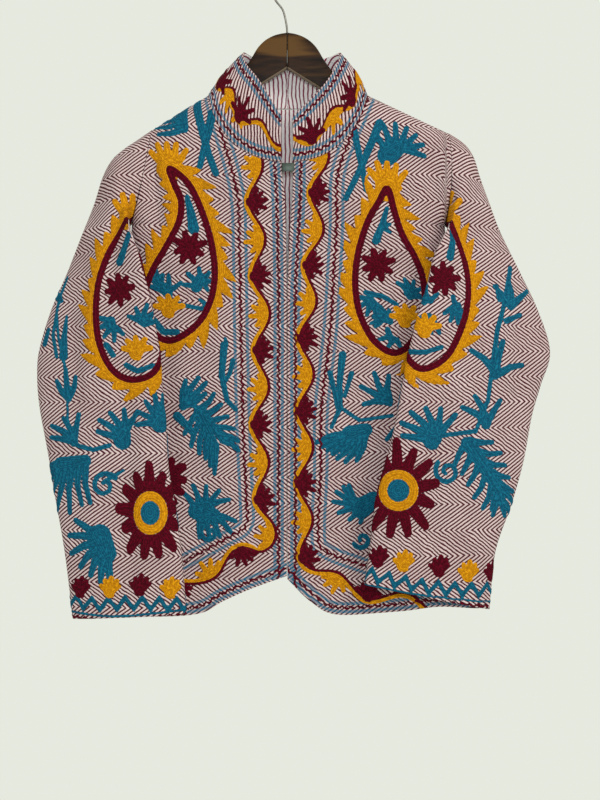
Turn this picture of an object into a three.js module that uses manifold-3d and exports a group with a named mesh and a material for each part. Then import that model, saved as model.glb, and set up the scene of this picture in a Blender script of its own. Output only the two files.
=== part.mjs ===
// A suzani jacket hanging on a wooden hanger, in millimetres.
// x runs to the right as seen from the front, y to the back and z up. The origin is the inside top of
// the hanger's wire hook, where a rail or a nail carries it. Left and right are as seen from the front.
import * as THREE from "three";
import { mergeVertices } from "three/addons/utils/BufferGeometryUtils.js";
import Module from "manifold-3d";

// Driving dimensions. The jacket hangs flat: its fronts and back lie either side of the plane y = 0.
const CLOTH = 3; // embroidered cotton and its striped inner face, one wall
const SEAM = 0.3; // gap between two pieces that are sewn together
const CURVED_SEAM = 0.7; // the same along the armholes and the neck, where both walls turn
const SHOULDER_ROUND = 50; // how far below the shoulder ridge the cloth has reached its full depth
const SIDE_ROUND = 60; // the same, inward from the side seam
const ROUND_POWER = 2.5; // 2 is an ellipse, more is squarer
const COLLAR_BULGE = 4; // how far the stand collar swells outward halfway up

const SHOULDER_COLUMNS = 7; // steps along one shoulder seam
const NECK_COLUMNS = 8; // steps along one half of the neckline
const ARMHOLE_ROWS = 10; // steps down the armhole
const SIDE_ROWS = 13; // steps down the side seam
const SLEEVE_RINGS = 20;
const SLEEVE_LENGTHS = ["top", "middle", "cuff"];
const SLEEVE_PARTINGS = [7, 12]; // the rings where one length ends and the next begins
const COLLAR_ROWS = 4;

// The two halves of the body. x is the distance from the centre line, whichever side it is on.
// neck is the high point of the shoulder beside the collar, tip its outer end at the sleeve.
const HALVES = {
  left: {
    sign: -1,
    neck: { x: 104, z: -157 },
    neckBow: { x: 88, z: -243 },
    tip: { x: 178, z: -203 },
    armholeBow: { x: 186, z: -272 },
    armpit: { x: 205, z: -327 },
    side: { x: 244, z: -838 },
  },
  right: {
    sign: 1,
    neck: { x: 106, z: -157 },
    neckBow: { x: 84, z: -245 },
    tip: { x: 212, z: -207 },
    armholeBow: { x: 219, z: -272 },
    armpit: { x: 208, z: -329 },
    side: { x: 256, z: -832 },
  },
};

// The two front edges: open at the collar, edge to edge from the chest down.
const FRONT_EDGE = [
  { z: -248, left: 7.2, right: 7.2 },
  { z: -264, left: 6.8, right: 7.6 },
  { z: -290, left: 3.2, right: 7.2 },
  { z: -345, left: 1.5, right: 3.2 },
  { z: -415, left: 0.3, right: 0.3 },
  { z: -600, left: 0.3, right: 0.3 },
];
// The fronts' hems drop from the centre corner to the level part under the sleeve.
const FRONT_HEM = {
  left: [
    { x: 0.3, z: -788 },
    { x: 48, z: -805 },
    { x: 82, z: -820 },
    { x: 115, z: -837 },
    { x: 180, z: -841 },
    { x: 244, z: -838 },
  ],
  right: [
    { x: 0.3, z: -792 },
    { x: 32, z: -822 },
    { x: 66, z: -838 },
    { x: 147, z: -834 },
    { x: 200, z: -828 },
    { x: 256, z: -832 },
  ],
};
const BACK_NECK_DROP = 15; // the back neckline's lowest point below the shoulder's high point
const BACK_HEM_CENTRE = -785;

// How far the cloth's face stands from the middle plane, by height.
const BODY_DEPTH = [
  { z: -150, front: 31, back: 29 },
  { z: -400, front: 30, back: 29 },
  { z: -620, front: 32, back: 31 },
  { z: -842, front: 34, back: 35 },
];
// Soft folds that run down a panel: a negative depth is a trough. lean is sideways per unit down.
const FRONT_FOLDS = [
  { x: -168, top: -330, bottom: -700, width: 16, depth: -5, lean: 0.06 },
  { x: -120, top: -420, bottom: -860, width: 20, depth: -4, lean: 0.02 },
  { x: -62, top: -640, bottom: -870, width: 18, depth: 3, lean: -0.03 },
  { x: 60, top: -600, bottom: -870, width: 20, depth: 3, lean: 0.04 },
  { x: 118, top: -380, bottom: -860, width: 20, depth: -4, lean: -0.03 },
  { x: 176, top: -335, bottom: -640, width: 16, depth: -4, lean: -0.05 },
];
const BACK_FOLDS = [
  { x: -120, top: -300, bottom: -860, width: 24, depth: -5, lean: 0.05 },
  { x: -30, top: -420, bottom: -860, width: 22, depth: 3, lean: -0.02 },
  { x: 56, top: -360, bottom: -860, width: 24, depth: -4, lean: 0.03 },
  { x: 150, top: -320, bottom: -860, width: 22, depth: -5, lean: -0.04 },
];

// Each sleeve as flattened rings: the outer edge, the inner edge that lies before the front, and half
// the ring's thickness. The first row is the ring next to the armhole, the last one is the cuff.
const SLEEVE_RINGS_BY_SIDE = {
  left: [
    { outX: 196, outZ: -215, outY: 0, inX: 209, inZ: -332, inY: -12, half: 28 },
    { outX: 215, outZ: -228, outY: -1, inX: 208, inZ: -344, inY: -32, half: 26 },
    { outX: 231, outZ: -243, outY: -3, inX: 200, inZ: -355, inY: -48, half: 23 },
    { outX: 243, outZ: -266, outY: -5, inX: 190, inZ: -370, inY: -56, half: 21 },
    { outX: 254, outZ: -302, outY: -8, inX: 184, inZ: -394, inY: -61, half: 19 },
    { outX: 268, outZ: -338, outY: -11, inX: 177, inZ: -420, inY: -63, half: 18 },
    { outX: 288, outZ: -390, outY: -13, inX: 170, inZ: -458, inY: -64, half: 18 },
    { outX: 310, outZ: -442, outY: -15, inX: 164, inZ: -494, inY: -64, half: 18 },
    { outX: 325, outZ: -494, outY: -18, inX: 161, inZ: -530, inY: -64, half: 18 },
    { outX: 327, outZ: -530, outY: -22, inX: 158, inZ: -562, inY: -64, half: 18 },
    { outX: 323, outZ: -570, outY: -27, inX: 155, inZ: -598, inY: -65, half: 17 },
    { outX: 312, outZ: -625, outY: -34, inX: 152, inZ: -645, inY: -65, half: 17 },
    { outX: 302, outZ: -680, outY: -42, inX: 144, inZ: -692, inY: -66, half: 17 },
    { outX: 288, outZ: -755, outY: -50, inX: 135, inZ: -758, inY: -67, half: 17 },
    { outX: 277, outZ: -841, outY: -54, inX: 129, inZ: -834, inY: -68, half: 17 },
  ],
  right: [
    { outX: 227, outZ: -216, outY: 0, inX: 213, inZ: -334, inY: -12, half: 28 },
    { outX: 238, outZ: -226, outY: -1, inX: 211, inZ: -344, inY: -32, half: 26 },
    { outX: 247, outZ: -242, outY: -3, inX: 203, inZ: -352, inY: -48, half: 23 },
    { outX: 254, outZ: -266, outY: -5, inX: 193, inZ: -364, inY: -56, half: 21 },
    { outX: 266, outZ: -300, outY: -8, inX: 186, inZ: -385, inY: -61, half: 19 },
    { outX: 280, outZ: -338, outY: -11, inX: 180, inZ: -412, inY: -63, half: 18 },
    { outX: 305, outZ: -390, outY: -14, inX: 171, inZ: -440, inY: -64, half: 18 },
    { outX: 329, outZ: -442, outY: -18, inX: 163, inZ: -470, inY: -64, half: 18 },
    { outX: 344, outZ: -496, outY: -23, inX: 155, inZ: -503, inY: -64, half: 18 },
    { outX: 331, outZ: -540, outY: -28, inX: 148, inZ: -540, inY: -64, half: 18 },
    { outX: 319, outZ: -580, outY: -33, inX: 141, inZ: -580, inY: -65, half: 17 },
    { outX: 308, outZ: -636, outY: -40, inX: 130, inZ: -628, inY: -65, half: 17 },
    { outX: 292, outZ: -692, outY: -46, inX: 115, inZ: -684, inY: -66, half: 17 },
    { outX: 270, outZ: -755, outY: -51, inX: 107, inZ: -745, inY: -67, half: 17 },
    { outX: 262, outZ: -829, outY: -54, inX: 100, inZ: -796, inY: -68, half: 17 },
  ],
};
const SLEEVE_FOLDS = [
  { x: -236, top: -300, bottom: -560, width: 13, depth: 5, lean: -0.1 },
  { x: -214, top: -420, bottom: -800, width: 15, depth: -5, lean: 0.03 },
  { x: -262, top: -540, bottom: -840, width: 16, depth: 4, lean: 0.06 },
  { x: 236, top: -300, bottom: -540, width: 14, depth: -4, lean: 0.12 },
  { x: 268, top: -400, bottom: -560, width: 14, depth: 5, lean: 0.16 },
  { x: 214, top: -520, bottom: -800, width: 16, depth: -5, lean: -0.12 },
];

// The collar's top edge, from the right front corner round the back to the left front corner.
// share is the way along the neck seam of the point below it.
const COLLAR_TOP = [
  { share: 0, x: 6.5, y: -36, z: -190 },
  { share: 0.07, x: 31, y: -33, z: -166 },
  { share: 0.15, x: 52, y: -25, z: -141 },
  { share: 0.22, x: 66, y: -13, z: -116 },
  { share: 0.28, x: 70, y: 1, z: -100 },
  { share: 0.37, x: 50, y: 18, z: -105 },
  { share: 0.5, x: 6, y: 26, z: -110 },
  { share: 0.63, x: -38, y: 18, z: -106 },
  { share: 0.72, x: -58, y: 1, z: -100 },
  { share: 0.78, x: -53, y: -14, z: -118 },
  { share: 0.85, x: -38, y: -25, z: -138 },
  { share: 0.93, x: -22, y: -33, z: -164 },
  { share: 1, x: -7.5, y: -36, z: -188 },
];

// The hanger: two wooden arms mitred at the centre, and a wire hook.
const WOOD = {
  halfThickness: 10,
  headRadius: 49,
  headCentreZ: -124,
  veeZ: -122, // top of the inverted V under the head
  slope: 0.62, // fall of the arm per unit outward
};
// Sections of one arm, from the mitre to the tip: its top, and the round of its long edges.
// Up to the last row inside the head the top follows the head's arc.
const ARM = [
  { x: 0.15, top: -75, round: 3 },
  { x: 12, top: -76.5, round: 3 },
  { x: 23, top: -80.7, round: 3 },
  { x: 32, top: -86.9, round: 3 },
  { x: 40, top: -95.7, round: 3 },
  { x: 46, top: -107.1, round: 3.5 },
  { x: 54, top: -119, round: 4 },
  { x: 66, top: -133, round: 5.5 },
  { x: 84, top: -150.8, round: 7.5 },
  { x: 104, top: -163.9, round: 8.5 },
  { x: 140, top: -185.6, round: 8.5 },
  { x: 172, top: -205.5, round: 8.5 },
  { x: 183, top: -213.5, round: 7.5 },
  { x: 188, top: -221, round: 5 },
];
const HOOK = { wire: 1.4, round: 18, stemDepth: 22, stemGap: 0.3, steps: 44, quarterSteps: 2 };
const FASTENER = { top: -249.5, height: 11, metal: 1.1, inside: 16, over: 9.5 };

// Small helpers on tables and curves.
const point = (x, y, z) => new THREE.Vector3(x, y, z);
const mix = (a, b, t) => a + (b - a) * t;
const clamp01 = (t) => Math.min(1, Math.max(0, t));
const smooth = (t) => clamp01(t) ** 2 * (3 - 2 * clamp01(t));

// The value of one column of a table at a place along another column.
function readTable(table, key, at, column) {
  const order = Math.sign(table[1][key] - table[0][key]);
  let row = 0;
  while (row < table.length - 2 && (at - table[row + 1][key]) * order > 0) row += 1;
  const [a, b] = [table[row], table[row + 1]];
  return mix(a[column], b[column], clamp01((at - a[key]) / (b[key] - a[key])));
}

// A rounded fold: 0 at the ridge, 1 from one round away.
const roundOff = (t) => (1 - (1 - clamp01(t)) ** ROUND_POWER) ** (1 / ROUND_POWER);

function foldHeight(rows, x, z) {
  return rows.reduce((sum, fold) => {
    const off = (x - fold.x - fold.lean * (fold.top - z)) / fold.width;
    const along = (fold.top - z) / (fold.top - fold.bottom);
    const fade = along <= 0 || along >= 1 ? 0 : Math.sin(Math.PI * along) ** 0.7;
    return sum + fold.depth * Math.exp(-off * off) * fade;
  }, 0);
}

const quadratic = (a, b, c) =>
  new THREE.QuadraticBezierCurve(
    new THREE.Vector2(a.x, a.z),
    new THREE.Vector2(b.x, b.z),
    new THREE.Vector2(c.x, c.z),
  );

const flatSpline = (rows) => new THREE.SplineCurve(rows.map((row) => new THREE.Vector2(row.x, row.z)));

// Rows are close together at both ends of the armhole, where the cloth turns sharply.
const armholeShare = (row) => (1 - Math.cos((Math.PI * row) / ARMHOLE_ROWS)) / 2;
const BODY_ROWS = ARMHOLE_ROWS + SIDE_ROWS;
const FRONT_COLUMNS = NECK_COLUMNS + SHOULDER_COLUMNS;

// The outer edge of half a body at a row: down the armhole, then down the side seam.
function outerEdge(half, row) {
  if (row <= ARMHOLE_ROWS) {
    return quadratic(half.tip, half.armholeBow, half.armpit).getPoint(armholeShare(row));
  }
  const share = (row - ARMHOLE_ROWS) / SIDE_ROWS;
  return new THREE.Vector2(mix(half.armpit.x, half.side.x, share), mix(half.armpit.z, half.side.z, share));
}

// Columns are close together beside the collar, where the neckline crosses the shoulder ridge, and near
// the outer edge, where the side turns.
const neckShare = (step) => Math.sin((Math.PI / 2) * (step / NECK_COLUMNS));
const shoulderShare = (step) => Math.sin((Math.PI / 2) * (step / SHOULDER_COLUMNS));

function shoulderPoint(half, step) {
  const share = shoulderShare(step);
  return new THREE.Vector2(mix(half.neck.x, half.tip.x, share), mix(half.neck.z, half.tip.z, share));
}

// The armhole's curve and how far along it is, read by height.
const ARMHOLE_READINGS = 24;
for (const half of Object.values(HALVES)) {
  const curve = quadratic(half.tip, half.armholeBow, half.armpit);
  half.armhole = Array.from({ length: ARMHOLE_READINGS + 1 }, (_, step) => {
    const share = step / ARMHOLE_READINGS;
    const { x, y } = curve.getPoint(share);
    return { share, x, z: y };
  });
}

// How full the cloth is at a point of the front view: 0 on a ridge or seam fold, 1 at full depth.
function fullness(x, z) {
  const half = x > 0 ? HALVES.right : HALVES.left;
  const fall = (half.neck.z - half.tip.z) / (half.tip.x - half.neck.x);
  const ridge = half.neck.z - fall * (Math.abs(x) - half.neck.x);
  const below = (ridge - z) / Math.hypot(1, fall);
  const onArmhole = z > half.armpit.z;
  const share = onArmhole ? readTable(half.armhole, "z", z, "share") : 1;
  const open = Math.sqrt(1 - share ** 4);
  const down = (z - half.armpit.z) / (half.side.z - half.armpit.z);
  const edge = onArmhole ? readTable(half.armhole, "z", z, "x") : mix(half.armpit.x, half.side.x, down);
  return roundOff(below / SHOULDER_ROUND) * mix(roundOff((edge - Math.abs(x)) / SIDE_ROUND), 1, open);
}

// How far the outer face of the front or the back stands from the middle plane.
function faceDepth(face, x, z) {
  const folds = face === "front" ? FRONT_FOLDS : BACK_FOLDS;
  return SEAM / 2 + (readTable(BODY_DEPTH, "z", z, face) + foldHeight(folds, x, z)) * fullness(x, z);
}

const facePoint = (face, { x, y: z }) => point(x, (face === "front" ? -1 : 1) * faceDepth(face, x, z), z);

function faceNormal(face, { x, z }) {
  const step = 0.5;
  const slopeX = (faceDepth(face, x + step, z) - faceDepth(face, x - step, z)) / (2 * step);
  const slopeZ = (faceDepth(face, x, z + step) - faceDepth(face, x, z - step)) / (2 * step);
  return point(-slopeX, face === "front" ? -1 : 1, -slopeZ).normalize();
}

// A patch stretched between four edge curves, in the plane of the front view.
function stretched(u, v, start, end, top, bottom, corners) {
  const across = (axis) => mix(start[axis], end[axis], u) + mix(top[axis], bottom[axis], v);
  const doubled = (axis) =>
    mix(
      mix(corners.topStart[axis], corners.topEnd[axis], u),
      mix(corners.bottomStart[axis], corners.bottomEnd[axis], u),
      v,
    );
  return new THREE.Vector2(across("x") - doubled("x"), across("y") - doubled("y"));
}

// One front as a grid of outer points, rows from the top down and columns to the right.
function frontGrid(side) {
  const half = HALVES[side];
  const neckZ = FRONT_EDGE[0].z;
  const hem = flatSpline(FRONT_HEM[side]);
  const hemStart = hem.getPoint(0);
  const neckCorner = { x: FRONT_EDGE[0][side], z: neckZ };
  const neckline = quadratic(neckCorner, half.neckBow, half.neck);
  const topAt = (column) =>
    column <= NECK_COLUMNS
      ? neckline.getPoint(neckShare(column))
      : shoulderPoint(half, column - NECK_COLUMNS);
  const edgeAt = (row) => {
    const z = mix(neckZ, hemStart.y, row / BODY_ROWS);
    return new THREE.Vector2(readTable(FRONT_EDGE, "z", z, side), z);
  };
  const corners = {
    topStart: topAt(0),
    topEnd: topAt(FRONT_COLUMNS),
    bottomStart: hemStart,
    bottomEnd: hem.getPoint(1),
  };
  const rows = [];
  for (let row = 0; row <= BODY_ROWS; row += 1) {
    const line = [];
    for (let column = 0; column <= FRONT_COLUMNS; column += 1) {
      const u =
        column <= NECK_COLUMNS
          ? (0.5 * column) / NECK_COLUMNS
          : mix(0.5, 1, shoulderShare(column - NECK_COLUMNS));
      const outer = outerEdge(half, row);
      const at = stretched(u, row / BODY_ROWS, edgeAt(row), outer, topAt(column), hem.getPoint(u), corners);
      at.x *= half.sign;
      line.push(facePoint("front", at));
    }
    rows.push(half.sign > 0 ? line : line.reverse());
  }
  return rows;
}

// The back as one grid, rows from the top down and columns from the right side to the left.
function backGrid() {
  const { left, right } = HALVES;
  const neckLow = left.neck.z - BACK_NECK_DROP;
  const columns = 2 * FRONT_COLUMNS;
  const topAt = (column) => {
    const half = column < FRONT_COLUMNS ? right : left;
    const step = Math.abs(column - FRONT_COLUMNS);
    if (step > NECK_COLUMNS) {
      const at = shoulderPoint(half, step - NECK_COLUMNS);
      return new THREE.Vector2(half.sign * at.x, at.y);
    }
    const share = neckShare(step);
    return new THREE.Vector2(half.sign * half.neck.x * share, mix(neckLow, half.neck.z, share ** 3));
  };
  const shareAt = (column) => {
    const step = Math.abs(column - FRONT_COLUMNS);
    const out = step <= NECK_COLUMNS ? (0.5 * step) / NECK_COLUMNS : mix(0.5, 1, shoulderShare(step - NECK_COLUMNS));
    return 0.5 + (Math.sign(column - FRONT_COLUMNS) * out) / 2;
  };
  const hemAt = (u) => {
    const x = mix(right.side.x, -left.side.x, u);
    const side = x > 0 ? right.side : left.side;
    return new THREE.Vector2(x, mix(BACK_HEM_CENTRE, side.z, smooth(Math.abs(x) / side.x) ** 1.2));
  };
  const sideAt = (half, row) => {
    const at = outerEdge(half, row);
    return new THREE.Vector2(half.sign * at.x, at.y);
  };
  const corners = {
    topStart: topAt(0),
    topEnd: topAt(columns),
    bottomStart: hemAt(0),
    bottomEnd: hemAt(1),
  };
  const rows = [];
  for (let row = 0; row <= BODY_ROWS; row += 1) {
    const line = [];
    for (let column = 0; column <= columns; column += 1) {
      const u = shareAt(column);
      const [start, end] = [sideAt(right, row), sideAt(left, row)];
      line.push(facePoint("back", stretched(u, row / BODY_ROWS, start, end, topAt(column), hemAt(u), corners)));
    }
    rows.push(line);
  }
  return rows;
}

// Outward unit normals of a grid whose rows run down and whose columns run to the right as seen from
// outside. A ring grid joins its last column to its first.
function normalsOf(grid, ring) {
  const count = grid[0].length;
  return grid.map((line, row) =>
    line.map((_, column) => {
      const above = grid[Math.max(row - 1, 0)][column];
      const below = grid[Math.min(row + 1, grid.length - 1)][column];
      const before = ring ? line[(column + count - 1) % count] : line[Math.max(column - 1, 0)];
      const after = ring ? line[(column + 1) % count] : line[Math.min(column + 1, count - 1)];
      const down = below.clone().sub(above);
      return down.cross(after.clone().sub(before)).normalize();
    }),
  );
}

// A seam fold's normal lies in the middle plane, so that the two walls meet face to face.
function flattenOnSeam(normals, row, column) {
  normals[row][column].setY(0).normalize();
}

const innerPoints = (grid, normals) =>
  grid.map((line, row) =>
    line.map((at, column) => at.clone().addScaledVector(normals[row][column], -CLOTH)),
  );

// A closed wall between an outer and an inner grid of the same size.
function wallGeometry(outer, inner, ring) {
  const rows = outer.length;
  const columns = outer[0].length;
  const positions = [outer, inner].flat(2).flatMap((at) => at.toArray());
  const index = [];
  const id = (layer, row, column) => (layer * rows + row) * columns + (column % columns);
  const quad = (a, b, c, d) => index.push(a, b, c, a, c, d);
  const spans = ring ? columns : columns - 1;
  for (let row = 0; row < rows - 1; row += 1) {
    for (let column = 0; column < spans; column += 1) {
      const corners = [
        [row, column],
        [row + 1, column],
        [row + 1, column + 1],
        [row, column + 1],
      ];
      quad(...corners.map(([r, c]) => id(0, r, c)));
      quad(...corners.reverse().map(([r, c]) => id(1, r, c)));
    }
  }
  for (let column = 0; column < spans; column += 1) {
    quad(id(0, 0, column), id(0, 0, column + 1), id(1, 0, column + 1), id(1, 0, column));
    const last = rows - 1;
    quad(id(0, last, column), id(1, last, column), id(1, last, column + 1), id(0, last, column + 1));
  }
  if (!ring) {
    for (let row = 0; row < rows - 1; row += 1) {
      quad(id(0, row + 1, 0), id(0, row, 0), id(1, row, 0), id(1, row + 1, 0));
      const end = columns - 1;
      quad(id(0, row, end), id(0, row + 1, end), id(1, row + 1, end), id(1, row, end));
    }
  }
  const geometry = new THREE.BufferGeometry();
  geometry.setAttribute("position", new THREE.Float32BufferAttribute(positions, 3));
  geometry.setIndex(index);
  return geometry;
}

// The body's three panels, with their inner faces.
function bodyPanels() {
  const grids = { front_left: frontGrid("left"), front_right: frontGrid("right"), back: backGrid() };
  const panels = {};
  for (const [name, grid] of Object.entries(grids)) {
    const face = name === "back" ? "back" : "front";
    const normals = grid.map((line) => line.map((at) => faceNormal(face, at)));
    const last = grid[0].length - 1;
    const onSeam = (column) => Math.abs(grid[0][column].y) <= SEAM;
    grid[0].forEach((_, column) => {
      if (onSeam(column)) flattenOnSeam(normals, 0, column);
    });
    const seamColumns = { front_left: [0], front_right: [last], back: [0, last] }[name];
    for (let row = ARMHOLE_ROWS; row <= BODY_ROWS; row += 1) {
      seamColumns.forEach((column) => flattenOnSeam(normals, row, column));
    }
    panels[name] = { outer: grid, inner: innerPoints(grid, normals), normals };
  }
  return panels;
}

// Edge points of a panel, as pairs of an outer point and its outward normal.
const edgeDown = (panel, column, rows) =>
  rows.map((row) => ({ at: panel.outer[row][column], normal: panel.normals[row][column] }));

// The armhole as a ring of edge points: the shoulder tip first, then as the sleeve's columns run.
function armholeRing(panels, side) {
  const front = side === "left" ? panels.front_left : panels.front_right;
  const frontColumn = side === "left" ? 0 : FRONT_COLUMNS;
  const backColumn = side === "left" ? 2 * FRONT_COLUMNS : 0;
  const between = Array.from({ length: ARMHOLE_ROWS - 1 }, (_, step) => step + 1);
  const onFront = edgeDown(front, frontColumn, between);
  const onBack = edgeDown(panels.back, backColumn, between).reverse();
  const [top, bottom] = edgeDown(front, frontColumn, [0, ARMHOLE_ROWS]).map(({ at, normal }) => ({
    at: at.clone().setY(0),
    normal: normal.clone(),
  }));
  const ring = [top, ...onFront, bottom, ...onBack];
  return side === "left" ? ring : [top, ...ring.slice(1).reverse()];
}

// Catmull-Rom through one column of a table, by row number.
function splineColumn(table, column, at) {
  const low = Math.min(Math.floor(at), table.length - 2);
  const value = (row) => table[Math.min(Math.max(row, 0), table.length - 1)][column];
  const [a, b, c, d] = [low - 1, low, low + 1, low + 2].map(value);
  const t = at - low;
  return b + 0.5 * t * (c - a + t * (2 * a - 5 * b + 4 * c - d + t * (3 * (b - c) + d - a)));
}

// One sleeve: its first ring follows the armhole, the others come from the table.
function sleeveGrids(panels, side) {
  const table = SLEEVE_RINGS_BY_SIDE[side];
  const { sign } = HALVES[side];
  const count = 2 * ARMHOLE_ROWS;
  const armhole = armholeRing(panels, side);
  const first = armhole.map(({ at }, column) => {
    const before = armhole[(column + count - 1) % count].at;
    const after = armhole[(column + 1) % count].at;
    const slope = after.clone().sub(before).setY(0);
    const frontUp = Math.sign(slope.z) || 1;
    const out = slope.lengthSq() < 1 ? point(1, 0, 0) : point(Math.abs(slope.z), 0, -slope.x * frontUp);
    out.x *= sign;
    return at.clone().addScaledVector(out.normalize(), CURVED_SEAM);
  });
  const grid = [first];
  for (let ringNumber = 0; ringNumber < SLEEVE_RINGS; ringNumber += 1) {
    const at = ((table.length - 1) * ringNumber) / (SLEEVE_RINGS - 1);
    const read = (column) => splineColumn(table, column, at);
    const line = [];
    for (let column = 0; column < count; column += 1) {
      const angle = (2 * Math.PI * column) / count;
      const outward = (1 + Math.cos(angle)) / 2;
      const x = sign * mix(read("inX"), read("outX"), outward);
      const z = mix(read("inZ"), read("outZ"), outward);
      const middle = mix(read("inY"), read("outY"), outward);
      const swell = Math.sign(Math.sin(angle)) * Math.abs(Math.sin(angle)) ** 0.8;
      const before = -sign * swell; // above 0 on the side that faces the viewer
      const fold = foldHeight(SLEEVE_FOLDS, x, z) * clamp01(before);
      line.push(point(x, middle - before * read("half") - fold, z));
    }
    grid.push(line);
  }
  const normals = normalsOf(grid, true);
  const underarm = point(0, 0, -1);
  armhole.forEach(({ normal }, column) => {
    const share = (1 - Math.cos((2 * Math.PI * column) / count)) / 2;
    normals[0][column] = normal.clone().lerp(underarm, smooth((share - 0.6) / 0.4)).normalize();
  });
  return { outer: grid, inner: innerPoints(grid, normals) };
}

// The sleeve as three lengths, each a closed wall round the arm, parted by the seam's gap.
function sleeveLengths(panels, side) {
  const { outer, inner } = sleeveGrids(panels, side);
  const bounds = [0, ...SLEEVE_PARTINGS, SLEEVE_RINGS];
  return SLEEVE_LENGTHS.map((name, part) => {
    const [first, last] = [bounds[part], bounds[part + 1]];
    const lengthOf = (grid) =>
      grid.slice(first, last + 1).map((line, step) => {
        const row = first + step;
        const apart = (row === first && first > 0 ? 1 : 0) - (row === last && last < SLEEVE_RINGS ? 1 : 0);
        return line.map((at, column) => {
          if (!apart) return at;
          const along = outer[row + 1][column].clone().sub(outer[row - 1][column]).normalize();
          return at.clone().addScaledVector(along, (apart * SEAM) / 2);
        });
      });
    return [`sleeve_${side}_${name}`, wallGeometry(lengthOf(outer), lengthOf(inner), true)];
  });
}

// The stand collar, rows from its top edge down to the neck seam.
function collarGrids(panels) {
  const halfCount = NECK_COLUMNS;
  const seam = [
    ...edgeAcross(panels.front_right, 0, halfCount),
    ...edgeAcross(panels.back, SHOULDER_COLUMNS + 1, SHOULDER_COLUMNS + 2 * halfCount - 1),
    ...edgeAcross(panels.front_left, SHOULDER_COLUMNS, FRONT_COLUMNS),
  ];
  const base = seam.map(({ at, normal }, column) => {
    const before = seam[Math.max(column - 1, 0)].at;
    const after = seam[Math.min(column + 1, seam.length - 1)].at;
    const up = normal.clone().cross(after.clone().sub(before)).normalize();
    return at.clone().addScaledVector(up, CURVED_SEAM);
  });
  const along = base.reduce((sums, foot, column) => {
    const step = column === 0 ? 0 : foot.distanceTo(base[column - 1]);
    return [...sums, (sums.at(-1) ?? 0) + step];
  }, []);
  const outer = [];
  for (let row = 0; row <= COLLAR_ROWS; row += 1) {
    const down = row / COLLAR_ROWS;
    outer.push(
      base.map((foot, column) => {
        const share = along[column] / along.at(-1);
        const top = point(...["x", "y", "z"].map((axis) => smoothRead(COLLAR_TOP, share, axis)));
        const swell = COLLAR_BULGE * Math.sin(Math.PI * down);
        const out = point(foot.x, foot.y, 0).normalize();
        return top.lerp(foot, down).addScaledVector(out, swell);
      }),
    );
  }
  const normals = normalsOf(outer, false);
  normals[COLLAR_ROWS] = seam.map(({ normal }) => normal.clone());
  return { outer, inner: innerPoints(outer, normals) };
}

const edgeAcross = (panel, from, to) =>
  Array.from({ length: to - from + 1 }, (_, step) => ({
    at: panel.outer[0][from + step],
    normal: panel.normals[0][from + step],
  }));

// A smooth reading of the collar's table at a share of the way round.
function smoothRead(table, share, column) {
  let row = 0;
  while (row < table.length - 2 && share > table[row + 1].share) row += 1;
  const t = (share - table[row].share) / (table[row + 1].share - table[row].share);
  return splineColumn(table, column, row + t);
}

const materials = {
  cloth: new THREE.MeshStandardMaterial({ color: 0xcdb4b8, roughness: 0.95 }),
  wood: new THREE.MeshStandardMaterial({ color: 0x4a2f1c, roughness: 0.45 }),
  wire: new THREE.MeshStandardMaterial({ color: 0xb4b6b6, roughness: 0.35, metalness: 0.9 }),
  brass: new THREE.MeshStandardMaterial({ color: 0x8c9488, roughness: 0.4, metalness: 0.8 }),
};

function named(name, geometry, material) {
  const mesh = new THREE.Mesh(geometry, material);
  mesh.name = name;
  return mesh;
}

// Solids for the one cut in this model, the socket of the hook's stem.
const wasm = await Module();
wasm.setup();

function solidOf(geometry) {
  const bare = geometry.clone();
  bare.deleteAttribute("normal");
  bare.deleteAttribute("uv");
  const merged = mergeVertices(bare, 1e-3);
  return new wasm.Manifold(
    new wasm.Mesh({
      numProp: 3,
      vertProperties: new Float32Array(merged.attributes.position.array),
      triVerts: new Uint32Array(merged.index.array),
    }),
  );
}

function geometryOf(solid) {
  const { vertProperties, triVerts } = solid.getMesh();
  const geometry = new THREE.BufferGeometry();
  geometry.setAttribute("position", new THREE.BufferAttribute(vertProperties, 3));
  geometry.setIndex(new THREE.BufferAttribute(triVerts, 1));
  return geometry;
}

// One arm of the hanger, from the mitre at the centre to its rounded tip under the shoulder.
function hangerArm(sign) {
  const { halfThickness, headRadius, headCentreZ, veeZ, slope } = WOOD;
  const corners = [
    { y: -1, z: 1, start: 90 },
    { y: -1, z: -1, start: 180 },
    { y: 1, z: -1, start: 270 },
    { y: 1, z: 1, start: 0 },
  ];
  const sections = ARM.map(({ x, top, round }) => {
    const bottom = veeZ - slope * x;
    const middle = (top + bottom) / 2;
    const straightY = halfThickness - round;
    const straightZ = Math.max((top - bottom) / 2 - round, 0.5);
    return corners.flatMap((corner) =>
      [0, 45, 90].map((turn) => {
        const angle = THREE.MathUtils.degToRad(corner.start + turn);
        const y = corner.y * straightY + round * Math.cos(angle);
        const z = middle + corner.z * straightZ + round * Math.sin(angle);
        return point(sign * x, y, z);
      }),
    );
  });
  const arm = solidOf(barGeometry(sign < 0 ? sections : sections.map((ring) => ring.reverse())));
  const radius = HOOK.wire + HOOK.stemGap;
  const socket = new THREE.CylinderGeometry(radius, radius, 2 * (HOOK.stemDepth + HOOK.stemGap), 16);
  socket.rotateX(Math.PI / 2);
  socket.translate(0, 0, headCentreZ + headRadius);
  return geometryOf(arm.subtract(solidOf(socket)));
}

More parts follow.
